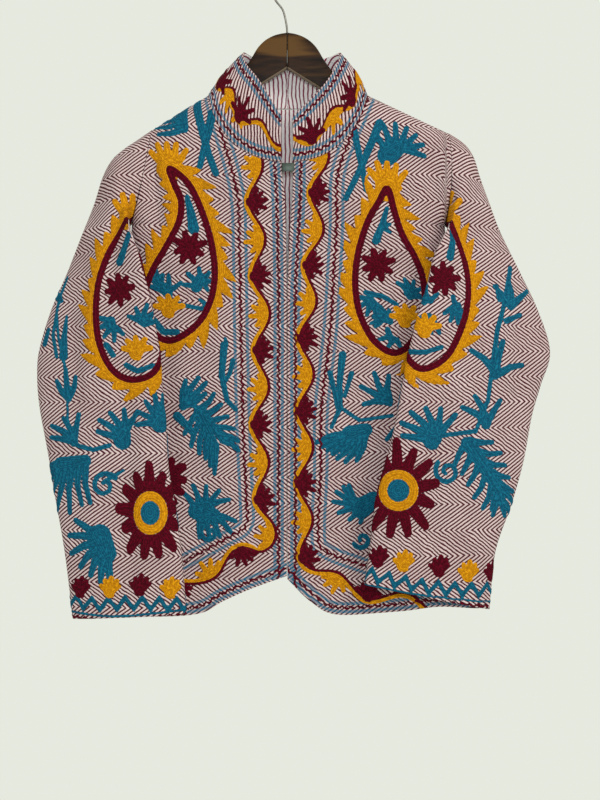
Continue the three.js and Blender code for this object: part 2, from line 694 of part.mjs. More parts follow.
// A solid bar through a list of sections, closed at both ends by a fan round the section's middle.
function barGeometry(sections) {
  const count = sections[0].length;
  const ends = [sections[0], sections.at(-1)].map((ring) =>
    ring.reduce((sum, at) => sum.add(at), point(0, 0, 0)).divideScalar(count),
  );
  const positions = [...sections.flat(), ...ends].flatMap((at) => at.toArray());
  const index = [];
  const id = (section, step) => section * count + (step % count);
  const last = sections.length - 1;
  const middle = (end) => sections.length * count + end;
  for (let step = 0; step < count; step += 1) {
    for (let section = 0; section < last; section += 1) {
      const [a, b] = [id(section, step), id(section, step + 1)];
      const [c, d] = [id(section + 1, step), id(section + 1, step + 1)];
      index.push(a, c, b, b, c, d);
    }
    index.push(middle(0), id(0, step), id(0, step + 1));
    index.push(middle(1), id(last, step + 1), id(last, step));
  }
  const geometry = new THREE.BufferGeometry();
  geometry.setAttribute("position", new THREE.Float32BufferAttribute(positions, 3));
  geometry.setIndex(index);
  return geometry;
}

// The hook: a stem out of the wood, a bend to the left, and a round over the top with an open tip.
function hangerHook() {
  const { wire, round, stemDepth, steps, quarterSteps } = HOOK;
  const woodTop = WOOD.headCentreZ + WOOD.headRadius;
  const reach = round + wire;
  const onRound = (degrees) => {
    const angle = THREE.MathUtils.degToRad(degrees);
    return point(reach * Math.cos(angle), 0, -round + reach * Math.sin(angle));
  };
  const route = new THREE.CatmullRomCurve3([
    point(0, 0, woodTop - stemDepth),
    point(0, 0, woodTop - stemDepth / 2),
    point(0, 0, woodTop),
    point(-1.5, 0, woodTop + 14),
    point(-6, 0, woodTop + 31),
    point(-15.5, 0, woodTop + 44),
    ...[178, 150, 120, 90, 60, 30, 0, -25].map(onRound),
  ]);
  const section = new THREE.Shape();
  section.absarc(0, 0, wire, 0, 2 * Math.PI, false);
  return new THREE.ExtrudeGeometry(section, {
    steps,
    extrudePath: route,
    curveSegments: 2 * quarterSteps,
    bevelEnabled: false,
  });
}

// A strip bent in plan and extruded along its height, for the two halves of the hook and eye.
function bentStrip(outline, height) {
  const shape = new THREE.Shape(outline.map(([x, y]) => new THREE.Vector2(x, y)));
  const geometry = new THREE.ExtrudeGeometry(shape, { depth: height, bevelEnabled: false });
  geometry.translate(0, 0, FASTENER.top - height);
  return geometry;
}

function fasteners() {
  const { metal, height, inside, over } = FASTENER;
  const front = BODY_DEPTH[0].front + SEAM / 2; // the cloth's outer face at the neck
  const face = -front - 0.8; // just before the cloth
  const behind = -front + CLOTH + 1.9; // just behind it
  const edge = FRONT_EDGE[0].left - 1;
  const hook = [
    [-inside, behind],
    [-edge + metal, behind],
    [-edge + metal + 1, face],
    [over, face],
    [over, face - metal],
    [-edge, face - metal],
    [-edge, behind - metal],
    [-inside, behind - metal],
  ];
  const bar = [
    [2.5, behind - metal],
    [inside, behind - metal],
    [inside, behind],
    [2.5, behind],
  ];
  return {
    fastener_hook: bentStrip(hook.reverse(), height),
    fastener_bar: bentStrip(bar, height),
  };
}

const jacket = new THREE.Group();
const panels = bodyPanels();
for (const [name, panel] of Object.entries(panels)) {
  jacket.add(named(name, wallGeometry(panel.outer, panel.inner, false), materials.cloth));
}
for (const side of ["left", "right"]) {
  for (const [name, geometry] of sleeveLengths(panels, side)) {
    jacket.add(named(name, geometry, materials.cloth));
  }
}
const collar = collarGrids(panels);
jacket.add(named("collar", wallGeometry(collar.outer, collar.inner, false), materials.cloth));
for (const [name, geometry] of Object.entries(fasteners())) {
  jacket.add(named(name, geometry, materials.brass));
}

const hanger = new THREE.Group();
hanger.add(named("hanger_arm_left", hangerArm(-1), materials.wood));
hanger.add(named("hanger_arm_right", hangerArm(1), materials.wood));
hanger.add(named("hanger_hook", hangerHook(), materials.wire));

const root = new THREE.Group();
root.add(jacket, hanger);

export default root;
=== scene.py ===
# A suzani jacket hanging on a wooden hanger: cloth, embroidery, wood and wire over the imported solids.
# x to the right as seen from the front, y to the back, z up, from the inside top of the wire hook.
# The scene is in metres, and the tables of the cloth are in mm unless their comment says otherwise.
import math
import bpy
import numpy as np
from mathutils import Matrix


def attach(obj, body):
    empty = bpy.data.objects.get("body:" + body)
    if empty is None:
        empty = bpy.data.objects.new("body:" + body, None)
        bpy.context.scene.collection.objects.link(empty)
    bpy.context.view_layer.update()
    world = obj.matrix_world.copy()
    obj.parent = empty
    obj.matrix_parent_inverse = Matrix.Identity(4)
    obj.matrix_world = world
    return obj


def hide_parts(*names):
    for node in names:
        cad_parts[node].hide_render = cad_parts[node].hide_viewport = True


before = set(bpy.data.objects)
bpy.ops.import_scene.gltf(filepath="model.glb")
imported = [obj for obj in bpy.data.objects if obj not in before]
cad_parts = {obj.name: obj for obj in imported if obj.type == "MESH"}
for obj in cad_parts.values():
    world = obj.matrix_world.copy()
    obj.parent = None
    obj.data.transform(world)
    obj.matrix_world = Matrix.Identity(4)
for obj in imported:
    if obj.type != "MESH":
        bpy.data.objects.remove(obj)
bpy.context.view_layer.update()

# ---- The picture
# The jacket hangs before a pale wall and is seen level from the front, in soft even light.
# Only a small pale floor well below it belongs to the room.
DISTANCE, PICTURE_HEIGHT, SENSOR = 2.7, 1.04, 24  # m, m and mm
bpy.ops.object.select_all(action="DESELECT")
lens = bpy.data.cameras.new("camera")
lens.sensor_fit = "VERTICAL"
lens.sensor_height = SENSOR
lens.lens = SENSOR * DISTANCE / PICTURE_HEIGHT
camera = bpy.data.objects.new("camera", lens)
camera.location = (0.0169, -0.04 - DISTANCE, -0.5586)
camera.rotation_euler = (math.pi / 2, 0, 0)
bpy.context.collection.objects.link(camera)
bpy.context.scene.camera = camera
bpy.context.scene.view_settings.view_transform = "Standard"

for name, place, aim, size, power, colour in (
    ("window", (1.7, -2.0, 0.9), (0, 0, -0.5), 0.9, 30, (1.0, 0.93, 0.82)),
    ("fill", (0.04, -2.75, -0.24), (0, 0, -0.4), 0.35, 21, (0.95, 0.97, 1.0)),
    ("overhead", (0.3, -0.5, 1.4), (0, 0, -0.4), 0.9, 7, (1.0, 0.95, 0.88)),
    ("behind", (-0.8, 2.4, 0.6), (0, 0, -0.5), 1.8, 34, (1.0, 1.0, 1.0)),
):
    lamp = bpy.data.lights.new(name, "AREA")
    lamp.size, lamp.energy, lamp.color = size, power, colour
    light = bpy.data.objects.new(name, lamp)
    light.location = place
    away = np.array(place) - np.array(aim)
    light.rotation_euler = (math.acos(away[2] / np.linalg.norm(away)), 0, math.atan2(away[0], -away[1]))
    bpy.context.collection.objects.link(light)

world = bpy.data.worlds.new("pale_room")
world.use_nodes = True
world.node_tree.nodes["Background"].inputs["Color"].default_value = (0.79, 0.815, 0.735, 1)
world.node_tree.nodes["Background"].inputs["Strength"].default_value = 1.0
bpy.context.scene.world = world

bpy.ops.mesh.primitive_grid_add(x_subdivisions=8, y_subdivisions=8, size=2.4, location=(0, 0, -1.6))
floor = bpy.context.object
floor.name = "floor"
floor_paint = bpy.data.materials.new("floor_paint")
floor_paint.use_nodes = True
floor_paint.node_tree.nodes["Principled BSDF"].inputs["Base Color"].default_value = (0.72, 0.72, 0.68, 1)
floor_paint.node_tree.nodes["Principled BSDF"].inputs["Roughness"].default_value = 0.8
floor.data.materials.append(floor_paint)


# ---- The two fronts
# Straight panels of cotton, chain-stitched all over by hand, with a striped inner face.
# They meet edge to edge and carry a scalloped border, a paisley and sprays of leaves.
CLOTH = 3.0  # mm, embroidered cotton and inner face together
HALVES = {
    "left": dict(sign=-1, column=1, neck=(104, -157), neck_bow=(88, -243), tip=(178, -203),
                 armhole_bow=(186, -272), armpit=(205, -327), side=(244, -838)),
    "right": dict(sign=1, column=2, neck=(106, -157), neck_bow=(84, -245), tip=(212, -207),
                  armhole_bow=(219, -272), armpit=(208, -329), side=(256, -832)),
}
# Columns: z, left, right
FRONT_EDGE = (
    (-248, 7.2, 7.2), (-264, 6.8, 7.6), (-290, 3.2, 7.2), (-345, 1.5, 3.2), (-415, 0.5, 0.5), (-600, 0.5, 0.5),
)
FRONT_HEM = {
    "left": ((0.5, -788), (48, -805), (82, -820), (115, -837), (180, -841), (244, -838)),
    "right": ((0.5, -792), (32, -822), (66, -838), (147, -834), (200, -828), (256, -832)),
}
# Columns: z, front, back
BODY_DEPTH = ((-842, 34, 35), (-620, 32, 31), (-400, 30, 29), (-150, 31, 29))
# Soft folds that run down a panel. Columns: x, top, bottom, width, depth, lean
FRONT_FOLDS = (
    (-168, -330, -700, 16, -5, 0.06), (-120, -420, -860, 20, -4, 0.02), (-62, -640, -870, 18, 3, -0.03),
    (60, -600, -870, 20, 3, 0.04), (118, -380, -860, 20, -4, -0.03), (176, -335, -640, 16, -4, -0.05),
    (-182, -196, -345, 11, -8, 0.10), (200, -205, -345, 11, -6, -0.10), (-96, -300, -620, 14, -1.6, -0.04),
    (34, -430, -700, 13, -1.5, 0.02), (-34, -470, -760, 12, 1.4, 0.03), (92, -610, -870, 11, -2, 0.08),
    (-150, -620, -870, 12, 2.2, 0.05), (20, -700, -870, 12, 3.0, 0.05), (146, -480, -760, 12, 1.8, 0.03),
)
BACK_FOLDS = (
    (-120, -300, -860, 24, -5, 0.05), (-30, -420, -860, 22, 3, -0.02), (56, -360, -860, 24, -4, 0.03),
    (150, -320, -860, 22, -5, -0.04), (-76, -560, -870, 14, 2.4, 0.04), (104, -520, -870, 15, 2.6, -0.03),
    (-164, -260, -420, 11, -2.5, 0.2), (176, -260, -420, 11, -2.5, -0.2), (12, -620, -870, 13, -2, 0.03),
    (-8, -190, -420, 26, -1.8, 0.02),
)


def read(rows, at, column):
    rows = sorted(rows)
    return np.interp(at, [row[0] for row in rows], [row[column] for row in rows])


def clamp(t):
    return np.clip(t, 0.0, 1.0)


def smooth(t):
    return clamp(t) ** 2 * (3 - 2 * clamp(t))


def blend(a, b, t):
    return a + (b - a) * t


def unit(vectors):
    return vectors / np.maximum(np.linalg.norm(vectors, axis=-1, keepdims=True), 1e-9)


def walked(points):
    """The way along a line of points, from its start to each of them."""
    return np.concatenate([[0], np.cumsum(np.linalg.norm(np.diff(points, axis=0), axis=1))])


def bow(a, b, c, t):
    """A quadratic curve from a to c, pulled towards b."""
    a, b, c, t = np.array(a, float), np.array(b, float), np.array(c, float), np.asarray(t)[..., None]
    return (1 - t) ** 2 * a + 2 * t * (1 - t) * b + t**2 * c


def through(points, at):
    """A smooth curve through a list of points, read by the number of the point."""
    points, at = np.asarray(points, float), np.asarray(at, float)
    low = np.clip(np.floor(at).astype(int), 0, len(points) - 2)
    a, b, c, d = (points[np.clip(low + k, 0, len(points) - 1)] for k in (-1, 0, 1, 2))
    t = (at - low).reshape(low.shape + (1,) * (b.ndim - low.ndim))
    return b + 0.5 * t * (c - a + t * (2 * a - 5 * b + 4 * c - d + t * (3 * (b - c) + d - a)))


def round_off(t):
    return (1 - (1 - clamp(t)) ** 2.5) ** 0.4


def folds(rows, x, z):
    height = np.zeros(np.broadcast(x, z).shape)
    for fold_x, top, bottom, width, depth, lean in rows:
        off = (x - fold_x - lean * (top - z)) / width
        along = clamp((top - z) / (top - bottom))
        height += depth * np.exp(-off * off) * np.abs(np.sin(math.pi * along)) ** 0.7
    return height


TO_RIDGE, TO_SIDE = 50, 60  # mm, over which the cloth rounds off to a shoulder and to a side seam


def fullness(x, z):
    """0 on a ridge or a seam fold, 1 where the cloth stands at its full depth."""
    total = np.zeros(np.broadcast(x, z).shape)
    for half in HALVES.values():
        fall = (half["neck"][1] - half["tip"][1]) / (half["tip"][0] - half["neck"][0])
        below = (half["neck"][1] - fall * (np.abs(x) - half["neck"][0]) - z) / math.hypot(1, fall)
        share = np.linspace(0, 1, 25)
        curve = bow(half["tip"], half["armhole_bow"], half["armpit"], share)[::-1]
        share_here = np.interp(z, curve[:, 1], share[::-1])
        down = (z - half["armpit"][1]) / (half["side"][1] - half["armpit"][1])
        edge = np.where(z > half["armpit"][1], np.interp(z, curve[:, 1], curve[:, 0]),
                        blend(half["armpit"][0], half["side"][0], down))
        open_ = np.where(z > half["armpit"][1], np.sqrt(clamp(1 - share_here**4)), 0)
        here = round_off(below / TO_RIDGE) * blend(round_off((edge - np.abs(x)) / TO_SIDE), 1, open_)
        total = np.where((x > 0) == (half["sign"] > 0), here, total)
    return total


def unevenness(x, z):
    """The small waviness of hand-stitched cloth, in mm."""
    return (0.55 * np.sin(x / 23 + 1.3 * np.sin(z / 61)) * np.sin(z / 34 + 0.9 * np.sin(x / 47))
            + 0.35 * np.sin(x / 11 + z / 17) * np.sin(z / 13 - x / 29))


HALF_SEAM = 0.15  # mm, half of the gap between a front and the back


def face_depth(face, x, z):
    rows = FRONT_FOLDS if face == "front" else BACK_FOLDS
    full = read(BODY_DEPTH, z, 1 if face == "front" else 2) + folds(rows, x, z) + unevenness(x, z)
    return HALF_SEAM + full * fullness(x, z)


def face_normals(face, x, z):
    slope_x = face_depth(face, x + 0.5, z) - face_depth(face, x - 0.5, z)
    slope_z = face_depth(face, x, z + 0.5) - face_depth(face, x, z - 0.5)
    return unit(np.stack([-slope_x, np.full(x.shape, -1.0 if face == "front" else 1.0), -slope_z], -1))


REACH, LOWEST, HIGHEST = 262, -850, -140  # mm, the part of the front view in which the panels lie


def unrolled(face, x, z):
    """Where each point of a panel lies on the cloth before it is bent, in mm, by summing its slopes."""
    grid_x, grid_z = np.arange(-REACH, REACH + 1.0), np.arange(LOWEST, HIGHEST + 1.0)
    depth = face_depth(face, grid_x[None, :], grid_z[:, None])
    across = np.hypot(1, np.diff(depth, axis=1))
    up = np.hypot(1, np.diff(depth, axis=0))
    flat_x = np.concatenate([np.zeros((len(grid_z), 1)), np.cumsum(across, axis=1)], axis=1)
    flat_x -= flat_x[:, [REACH]]
    flat_z = np.concatenate([np.zeros((1, len(grid_x))), np.cumsum(up, axis=0)], axis=0) + LOWEST
    i = np.clip(x + REACH, 0, len(grid_x) - 1.001)
    j = np.clip(z - LOWEST, 0, len(grid_z) - 1.001)
    i0, j0 = i.astype(int), j.astype(int)
    s, t = i - i0, j - j0

    def at(flat):
        lower, upper = (blend(flat[row, i0], flat[row, i0 + 1], s) for row in (j0, j0 + 1))
        return blend(lower, upper, t)

    return np.stack([at(flat_x), at(flat_z)], -1)


def patch(u, v, start, end, top, bottom):
    """A surface stretched between four edge lines, in the plane of the front view."""
    u, v = u[None, :, None], v[:, None, None]
    doubled = blend(blend(top[0], top[-1], u), blend(bottom[0], bottom[-1], u), v)
    return blend(start[:, None], end[:, None], u) + blend(top[None], bottom[None], v) - doubled


ARMHOLE_SHARE, NECK_SHARE = 0.2, 0.58


def outer_edge(half, v):
    on_armhole = bow(half["tip"], half["armhole_bow"], half["armpit"], clamp(v / ARMHOLE_SHARE))
    on_side = blend(np.array(half["armpit"], float), np.array(half["side"], float),
                    clamp((v - ARMHOLE_SHARE) / (1 - ARMHOLE_SHARE))[:, None])
    return np.where((v <= ARMHOLE_SHARE)[:, None], on_armhole, on_side)


def front_points(side, rows=300, columns=120):
    half = HALVES[side]
    u, v = np.linspace(0, 1, columns), np.linspace(0, 1, rows)
    hem = FRONT_HEM[side]
    edge_z = np.linspace(FRONT_EDGE[0][0], hem[0][1], rows)
    edge = np.stack([read(FRONT_EDGE, edge_z, half["column"]), edge_z], -1)
    corner = FRONT_EDGE[0][half["column"]], FRONT_EDGE[0][0]
    neck = bow(corner, half["neck_bow"], half["neck"], clamp(u / NECK_SHARE))
    shoulder = blend(np.array(half["neck"], float), np.array(half["tip"], float),
                     clamp((u - NECK_SHARE) / (1 - NECK_SHARE))[:, None])
    top = np.where((u <= NECK_SHARE)[:, None], neck, shoulder)
    at = patch(u, v, edge, outer_edge(half, v), top, through(hem, u * 5))
    at[..., 0] *= half["sign"]
    return at if side == "right" else at[:, ::-1]


def body_panel(face, at):
    """Outer points, normals and flat place of a front or the back, from its points in the front view."""
    x, z = at[..., 0], at[..., 1]
    depth = face_depth(face, x, z)
    outer = np.stack([x, (-1 if face == "front" else 1) * depth, z], -1)
    normals = face_normals(face, x, z)
    normals[depth < 0.5, 1] = 0  # at a seam the wall faces along the front view's plane
    return outer, unit(normals), unrolled(face, x, z)


COLOURS = ("teal_rows", "teal", "mustard", "burgundy")
FAR = 1e3  # mm, farther than anything on the cloth
RUN_ON = 200  # mm, how far a line's ends run on straight
ZIGZAG, ZIGZAG_PERIOD = 1.8, 11  # mm, the burgundy line between two teal ones
RELIEF, RELIEF_RISE = 0.9, 2.4  # mm, how high the motifs stand, and how far inside their edge


def as_seen(px, py):
    """A place in the front view, in mm, from its place in the picture: 1.3 mm a pixel."""
    return np.array([(px - 287) * 1.3, -38.6 - 1.3 * py])


def saw(way, period):
    """A zigzag between -1 and 1."""
    return 2 * np.abs(2 * ((way / period) % 1) - 1) - 1


class Embroidery:
    """Motifs on one sheet, as distances in mm: below 0 inside a motif. Places are given as they are seen
    from the front, in the picture's pixels, and looked up on the sheet, or in mm on the flat cloth."""

    def __init__(self, outer, flat, hidden=None):
        self.x, self.z = flat[..., 0], flat[..., 1]
        self.flat = flat.reshape(-1, 2)
        self.front = outer[..., [0, 2]].reshape(-1, 2).copy()
        if hidden is not None:
            self.front[hidden.reshape(-1)] = 1e6
        self.colours = {name: np.full(self.x.shape, 40.0) for name in COLOURS}

    def seen(self, px, py):
        return self.flat[np.argmin(((self.front - as_seen(px, py)) ** 2).sum(axis=1))]

    def sew(self, colour, distance):
        self.colours[colour] = np.minimum(self.colours[colour], distance)

    def leave(self, distance, colours=COLOURS):
        """Keeps colours out of the place where the distance is below 0."""
        for colour in colours:
            self.colours[colour] = np.maximum(self.colours[colour], -distance)

    def to_run(self, a, b):
        """Share of the way from a to b that each point is nearest to, and how far it is from there."""
        run = b - a
        share = clamp(((self.x - a[0]) * run[0] + (self.z - a[1]) * run[1]) / (run @ run))
        return share, np.hypot(self.x - a[0] - share * run[0], self.z - a[1] - share * run[1])

    def stroke(self, points, start, end):
        """Distance to a line of stitches whose half width goes from start to end."""
        points = np.asarray(points, float)
        sums = walked(points)
        best = np.full(self.x.shape, FAR)
        for number, (a, b) in enumerate(zip(points[:-1], points[1:])):
            run = sums[number + 1] - sums[number]
            if run > 1e-6:
                share, away = self.to_run(a, b)
                best = np.minimum(best, away - blend(start, end, (sums[number] + share * run) / sums[-1]))
        return best

    def frond(self, colour, start, end, first, last, count, length, width, body=None):
        """Fingers of stitches that leave a spine at angles from first to last, in degrees."""
        start, end = np.asarray(start, float), np.asarray(end, float)
        if body:
            self.sew(colour, self.stroke([start, end + 0.01], body, body * 0.8))
        for number in range(count):
            share = number / max(count - 1, 1)
            angle = math.radians(blend(first, last, share))
            root = blend(start, end, share)
            uneven = 0.08 * math.sin(7 * share + length)
            long = length * (0.78 + 0.22 * math.sin(math.pi * (0.15 + 0.7 * share)) + uneven)
            bend = math.radians(9) * math.sin(3 * share + length)
            bent = root + 0.55 * long * np.array([math.cos(angle), math.sin(angle)])
            tip = root + long * np.array([math.cos(angle + bend), math.sin(angle + bend)])
            self.sew(colour, self.stroke([root, bent, tip], width, width * 0.62))

    def flower(self, colour, at, petals, radius, width, turn=0.0, stretch=1.0):
        dx, dz = self.x - at[0], (self.z - at[1]) / stretch
        away, angle = np.hypot(dx, dz), np.arctan2(dz, dx) - turn
        step = 2 * math.pi / petals
        number = np.round(angle / step)
        off = angle - number * step
        first, last = 0.25 * radius, radius * (1 + 0.07 * np.sin(number * 2.4 + petals)) - width
        along, across = away * np.cos(off), away * np.sin(off)
        t = clamp((along - first) / (last - first))
        wide = width * (0.82 + 0.24 * np.sin(math.pi * t**0.9))
        petal = np.hypot(along - blend(first, last, t), across) - wide
        self.sew(colour, np.minimum(petal, away - 0.32 * radius))

    def spiral(self, colour, at, radius, turns, start, width):
        angles = np.linspace(0, 2 * math.pi * turns, 22)
        reach = radius * (1 - 0.78 * angles / angles[-1])
        line = np.stack([at[0] + reach * np.cos(start + angles), at[1] + reach * np.sin(start + angles)], -1)
        self.sew(colour, self.stroke(line, width, width * 0.8))

    def sprays(self, motifs):
        """The teal leaves, stalks and curls of one sheet's table."""
        for start, end, *rest in motifs["fronds"]:
            self.frond("teal", self.seen(*start), self.seen(*end), *rest)
        for points, start, end in motifs["strokes"]:
            self.sew("teal", self.stroke([self.seen(*at) for at in points], start, end))
        for px, py, *rest in motifs["curls"]:
            self.spiral("teal", self.seen(px, py), *rest, 3.4)

    def path(self, points, steps=70):
        """Way along a smooth line through the points, and distance from it, to the right of it as it runs."""
        line = through(points, np.linspace(0, len(points) - 1, steps))
        sums = walked(line)
        along, off = np.zeros(self.x.shape), np.full(self.x.shape, FAR)
        for number, (a, b) in enumerate(zip(line[:-1], line[1:])):
            run = sums[number + 1] - sums[number]
            tx, tz = (b - a) / run
            before, after = (RUN_ON if number == end else 0 for end in (0, steps - 2))
            t = np.clip((self.x - a[0]) * tx + (self.z - a[1]) * tz, -before, run + after)
            away = np.hypot(self.x - a[0] - t * tx, self.z - a[1] - t * tz)
            side = np.sign(-(self.x - a[0]) * tz + (self.z - a[1]) * tx)
            nearer = away < np.abs(off)
            along = np.where(nearer, sums[number] + t, along)
            off = np.where(nearer, away * np.where(side == 0, 1, side), off)
        return along, off, line, sums

    def lines(self, along, off, middle, gap, teal=2.0, burgundy=1.5):
        """A zigzag line of burgundy between two lines of teal, which the white rows cross."""
        self.sew("teal_rows", np.minimum(np.abs(off - middle - gap), np.abs(off - middle + gap)) - teal)
        self.sew("burgundy", np.abs(off - middle - ZIGZAG * saw(along, ZIGZAG_PERIOD)) - burgundy)

    def border(self, points, first, period, swing=9.5, reach=36):
        """A wavy burgundy line with a mustard band and scallops on its left, half-flowers on its right."""
        along, off, line, sums = self.path(points)
        away = off - swing * np.cos(2 * math.pi * (along - first) / period)
        self.sew("mustard", np.abs(away + 4.0) - 3.4)
        count = int((sums[-1] - first) / period) + 2
        for number in range(-1, count):
            crest = first + period * number
            for s, side, colour in ((crest, -1, "mustard"), (crest + period / 2, 1, "burgundy")):
                if not -6 < s < sums[-1] + 6:
                    continue
                at, out = self.beside(line, sums, s)
                facing = math.degrees(math.atan2(out[1], out[0])) + (180 if side < 0 else 0)
                root = at + out * (swing * -side + side * 3.0)
                if side < 0:
                    self.frond(colour, root, root, facing - 86, facing + 86, 6, 22, 4.8, 15.5)
                else:
                    self.frond(colour, root, root, facing - 66, facing + 66, 5, 19, 4.3, 8.0)
        self.leave(np.abs(away) - 1.5, ["mustard"])
        self.leave(np.where(np.abs(off) < reach, -away - 0.4, FAR), ["mustard"])
        self.sew("burgundy", np.abs(away) - 2.0)

    @staticmethod
    def beside(line, sums, s):
        """A place on a line, and the unit vector to its right."""
        back, at, ahead = (np.array([np.interp(s + step, sums, line[:, axis]) for axis in (0, 1)])
                           for step in (-4, 0, 4))
        run = unit(ahead - back)
        return at, np.array([-run[1], run[0]])

    def paisley(self, points, flame=(10.0, 19.0), pitch=19.0, lean=0.042, outline=4.3):
        """A teardrop outlined in burgundy, with a band of mustard flames all round it."""
        closed = np.asarray(points, float)
        more = np.concatenate([closed[-2:], closed, closed[:3]])
        line = through(more, np.linspace(2, 2 + len(closed), 90))
        sums = walked(line)
        near, along = np.full(self.x.shape, FAR), np.zeros(self.x.shape)
        inside = np.zeros(self.x.shape, bool)
        for number, (a, b) in enumerate(zip(line[:-1], line[1:])):
            share, away = self.to_run(a, b)
            along = np.where(away < near, blend(sums[number], sums[number + 1], share), along)
            near = np.minimum(near, away)
            crosses = (a[1] > self.z) != (b[1] > self.z)
            slope = (b[0] - a[0]) / (b[1] - a[1] if abs(b[1] - a[1]) > 1e-9 else 1e-9)
            inside ^= crosses & (self.x < a[0] + slope * (self.z - a[1]))
        teeth = round(sums[-1] / pitch)
        way = along * teeth / sums[-1] - lean * near
        tooth = 1 - np.abs(2 * (way % 1) - 1)
        tall = 0.8 + 0.35 * np.sin(np.floor(way) * 1.9)
        self.sew("mustard", np.where(inside, 5.0, near - flame[0] - flame[1] * tall * tooth**0.75))
        tip = closed[0]
        up = unit(tip - closed.mean(axis=0))
        facing = math.degrees(math.atan2(up[1], up[0]))
        self.frond("mustard", tip, tip + up * 5, facing - 58, facing + 58, 5, 33, 6.2, 17.0)
        self.sew("burgundy", near - outline)
        self.leave(near - outline + 0.5, ["mustard"])

    def relief(self):
        """How far the motifs' stitches stand above the ground's, in mm."""
        deepest = np.minimum.reduce([self.colours[name] for name in THREAD_SHADED_AND_LIT])
        return RELIEF * smooth(-deepest / RELIEF_RISE)


class Finish:
    """A material and short ways to add its nodes."""

    def __init__(self, name, roughness, shine=0.15, metallic=0.0):
        self.material = bpy.data.materials.new(name)
        self.material.use_nodes = True
        self.tree = self.material.node_tree
        self.shader = self.tree.nodes["Principled BSDF"]
        for value, socket in ((roughness, "Roughness"), (shine, "Specular IOR Level"), (metallic, "Metallic")):
            self.shader.inputs[socket].default_value = value

    def node(self, kind, **settings):
        made = self.tree.nodes.new("ShaderNode" + kind)
        for key, value in settings.items():
            setattr(made, key, value)
        return made

    def link(self, value, socket):
        if isinstance(value, bpy.types.NodeSocket):
            self.tree.links.new(value, socket)
        else:
            socket.default_value = value

    def math(self, operation, *values):
        made = self.node("Math", operation=operation)
        for value, socket in zip(values, made.inputs):
            self.link(value, socket)
        return made.outputs[0]

    def plus(self, a, b):
        return self.math("ADD", a, b)

    def minus(self, a, b):
        return self.math("SUBTRACT", a, b)

    def times(self, a, b):
        return self.math("MULTIPLY", a, b)

    def from_middle(self, value, period):
        """0 in the middle of each repeat, 0.5 between two repeats."""
        share = self.math("FRACT", self.math("DIVIDE", value, period))
        return self.math("ABSOLUTE", self.minus(share, 0.5))

    def ramp(self, value, low, high, low_out=0.0, high_out=1.0):
        made = self.node("MapRange", interpolation_type="SMOOTHSTEP")
        for given, socket in zip((value, low, high, low_out, high_out), made.inputs):
            self.link(given, socket)
        return made.outputs[0]

    def mix(self, share, a, b):
        made = self.node("Mix", data_type="RGBA")
        self.link(share, made.inputs[0])
        self.link(a, made.inputs[6])
        self.link(b, made.inputs[7])
        return made.outputs[2]

    def noise(self, vector, scale, detail=2.0):
        made = self.node("TexNoise")
        self.link(vector, made.inputs["Vector"])
        made.inputs["Scale"].default_value = scale
        made.inputs["Detail"].default_value = detail
        return made.outputs["Fac"]

    def flat_cloth(self):
        """The cloth's own flat coordinates in mm, as x and z with a little waver of the hand."""
        uv = self.node("UVMap", uv_map="cloth").outputs[0]
        scaled = self.node("VectorMath", operation="SCALE")
        self.link(uv, scaled.inputs[0])
        scaled.inputs["Scale"].default_value = 1000.0
        flat = scaled.outputs[0]
        parts = self.node("SeparateXYZ")
        self.link(flat, parts.inputs[0])
        waver = self.times(self.minus(self.noise(flat, 0.055), 0.5), 4.0)
        return flat, self.plus(parts.outputs[0], waver), self.plus(parts.outputs[1], waver)

    def finished(self, colour, height, distance):
        """The material with its colour and with a bump of a height times a distance in metres."""
        made = self.node("Bump")
        self.link(height, made.inputs["Height"])
        self.link(distance, made.inputs["Distance"])
        self.link(made.outputs[0], self.shader.inputs["Normal"])
        self.link(colour, self.shader.inputs["Base Color"])
        return self.material


# Sizes of the ground's pattern on the flat cloth, in mm
CHEVRON_TALL, CHEVRON_WIDE, CHEVRON_ROW, CHEVRON_LOOP = 33.0, 46.0, 7.0, 2.6
COLLAR_ROW, COLLAR_LOOP, MOTIF_ROW, STRIPE = 4.6, 4.4, 2.5, 5.4
GROUND_WHITE = (0.70, 0.575, 0.58, 1)
GROUND_SOILED = (0.44, 0.33, 0.33, 1)
# Painted shade for the dips between chain loops
SHADE_BETWEEN_LOOPS = (0.32, 0.17, 0.19, 1)
GROUND_GAP = (0.060, 0.009, 0.016, 1)
TEAL_GAP = (0.006, 0.085, 0.160, 1)
# Each thread colour is given as a shaded and a lit copy: painted shade between the motifs' chain rows and
# painted light on their crests
THREAD_SHADED_AND_LIT = {
    "teal": ((0.002, 0.040, 0.085, 1), (0.006, 0.132, 0.215, 1)),
    "mustard": ((0.30, 0.105, 0.001, 1), (0.66, 0.295, 0.005, 1)),
    "burgundy": ((0.026, 0.0005, 0.003, 1), (0.110, 0.001, 0.011, 1)),
}


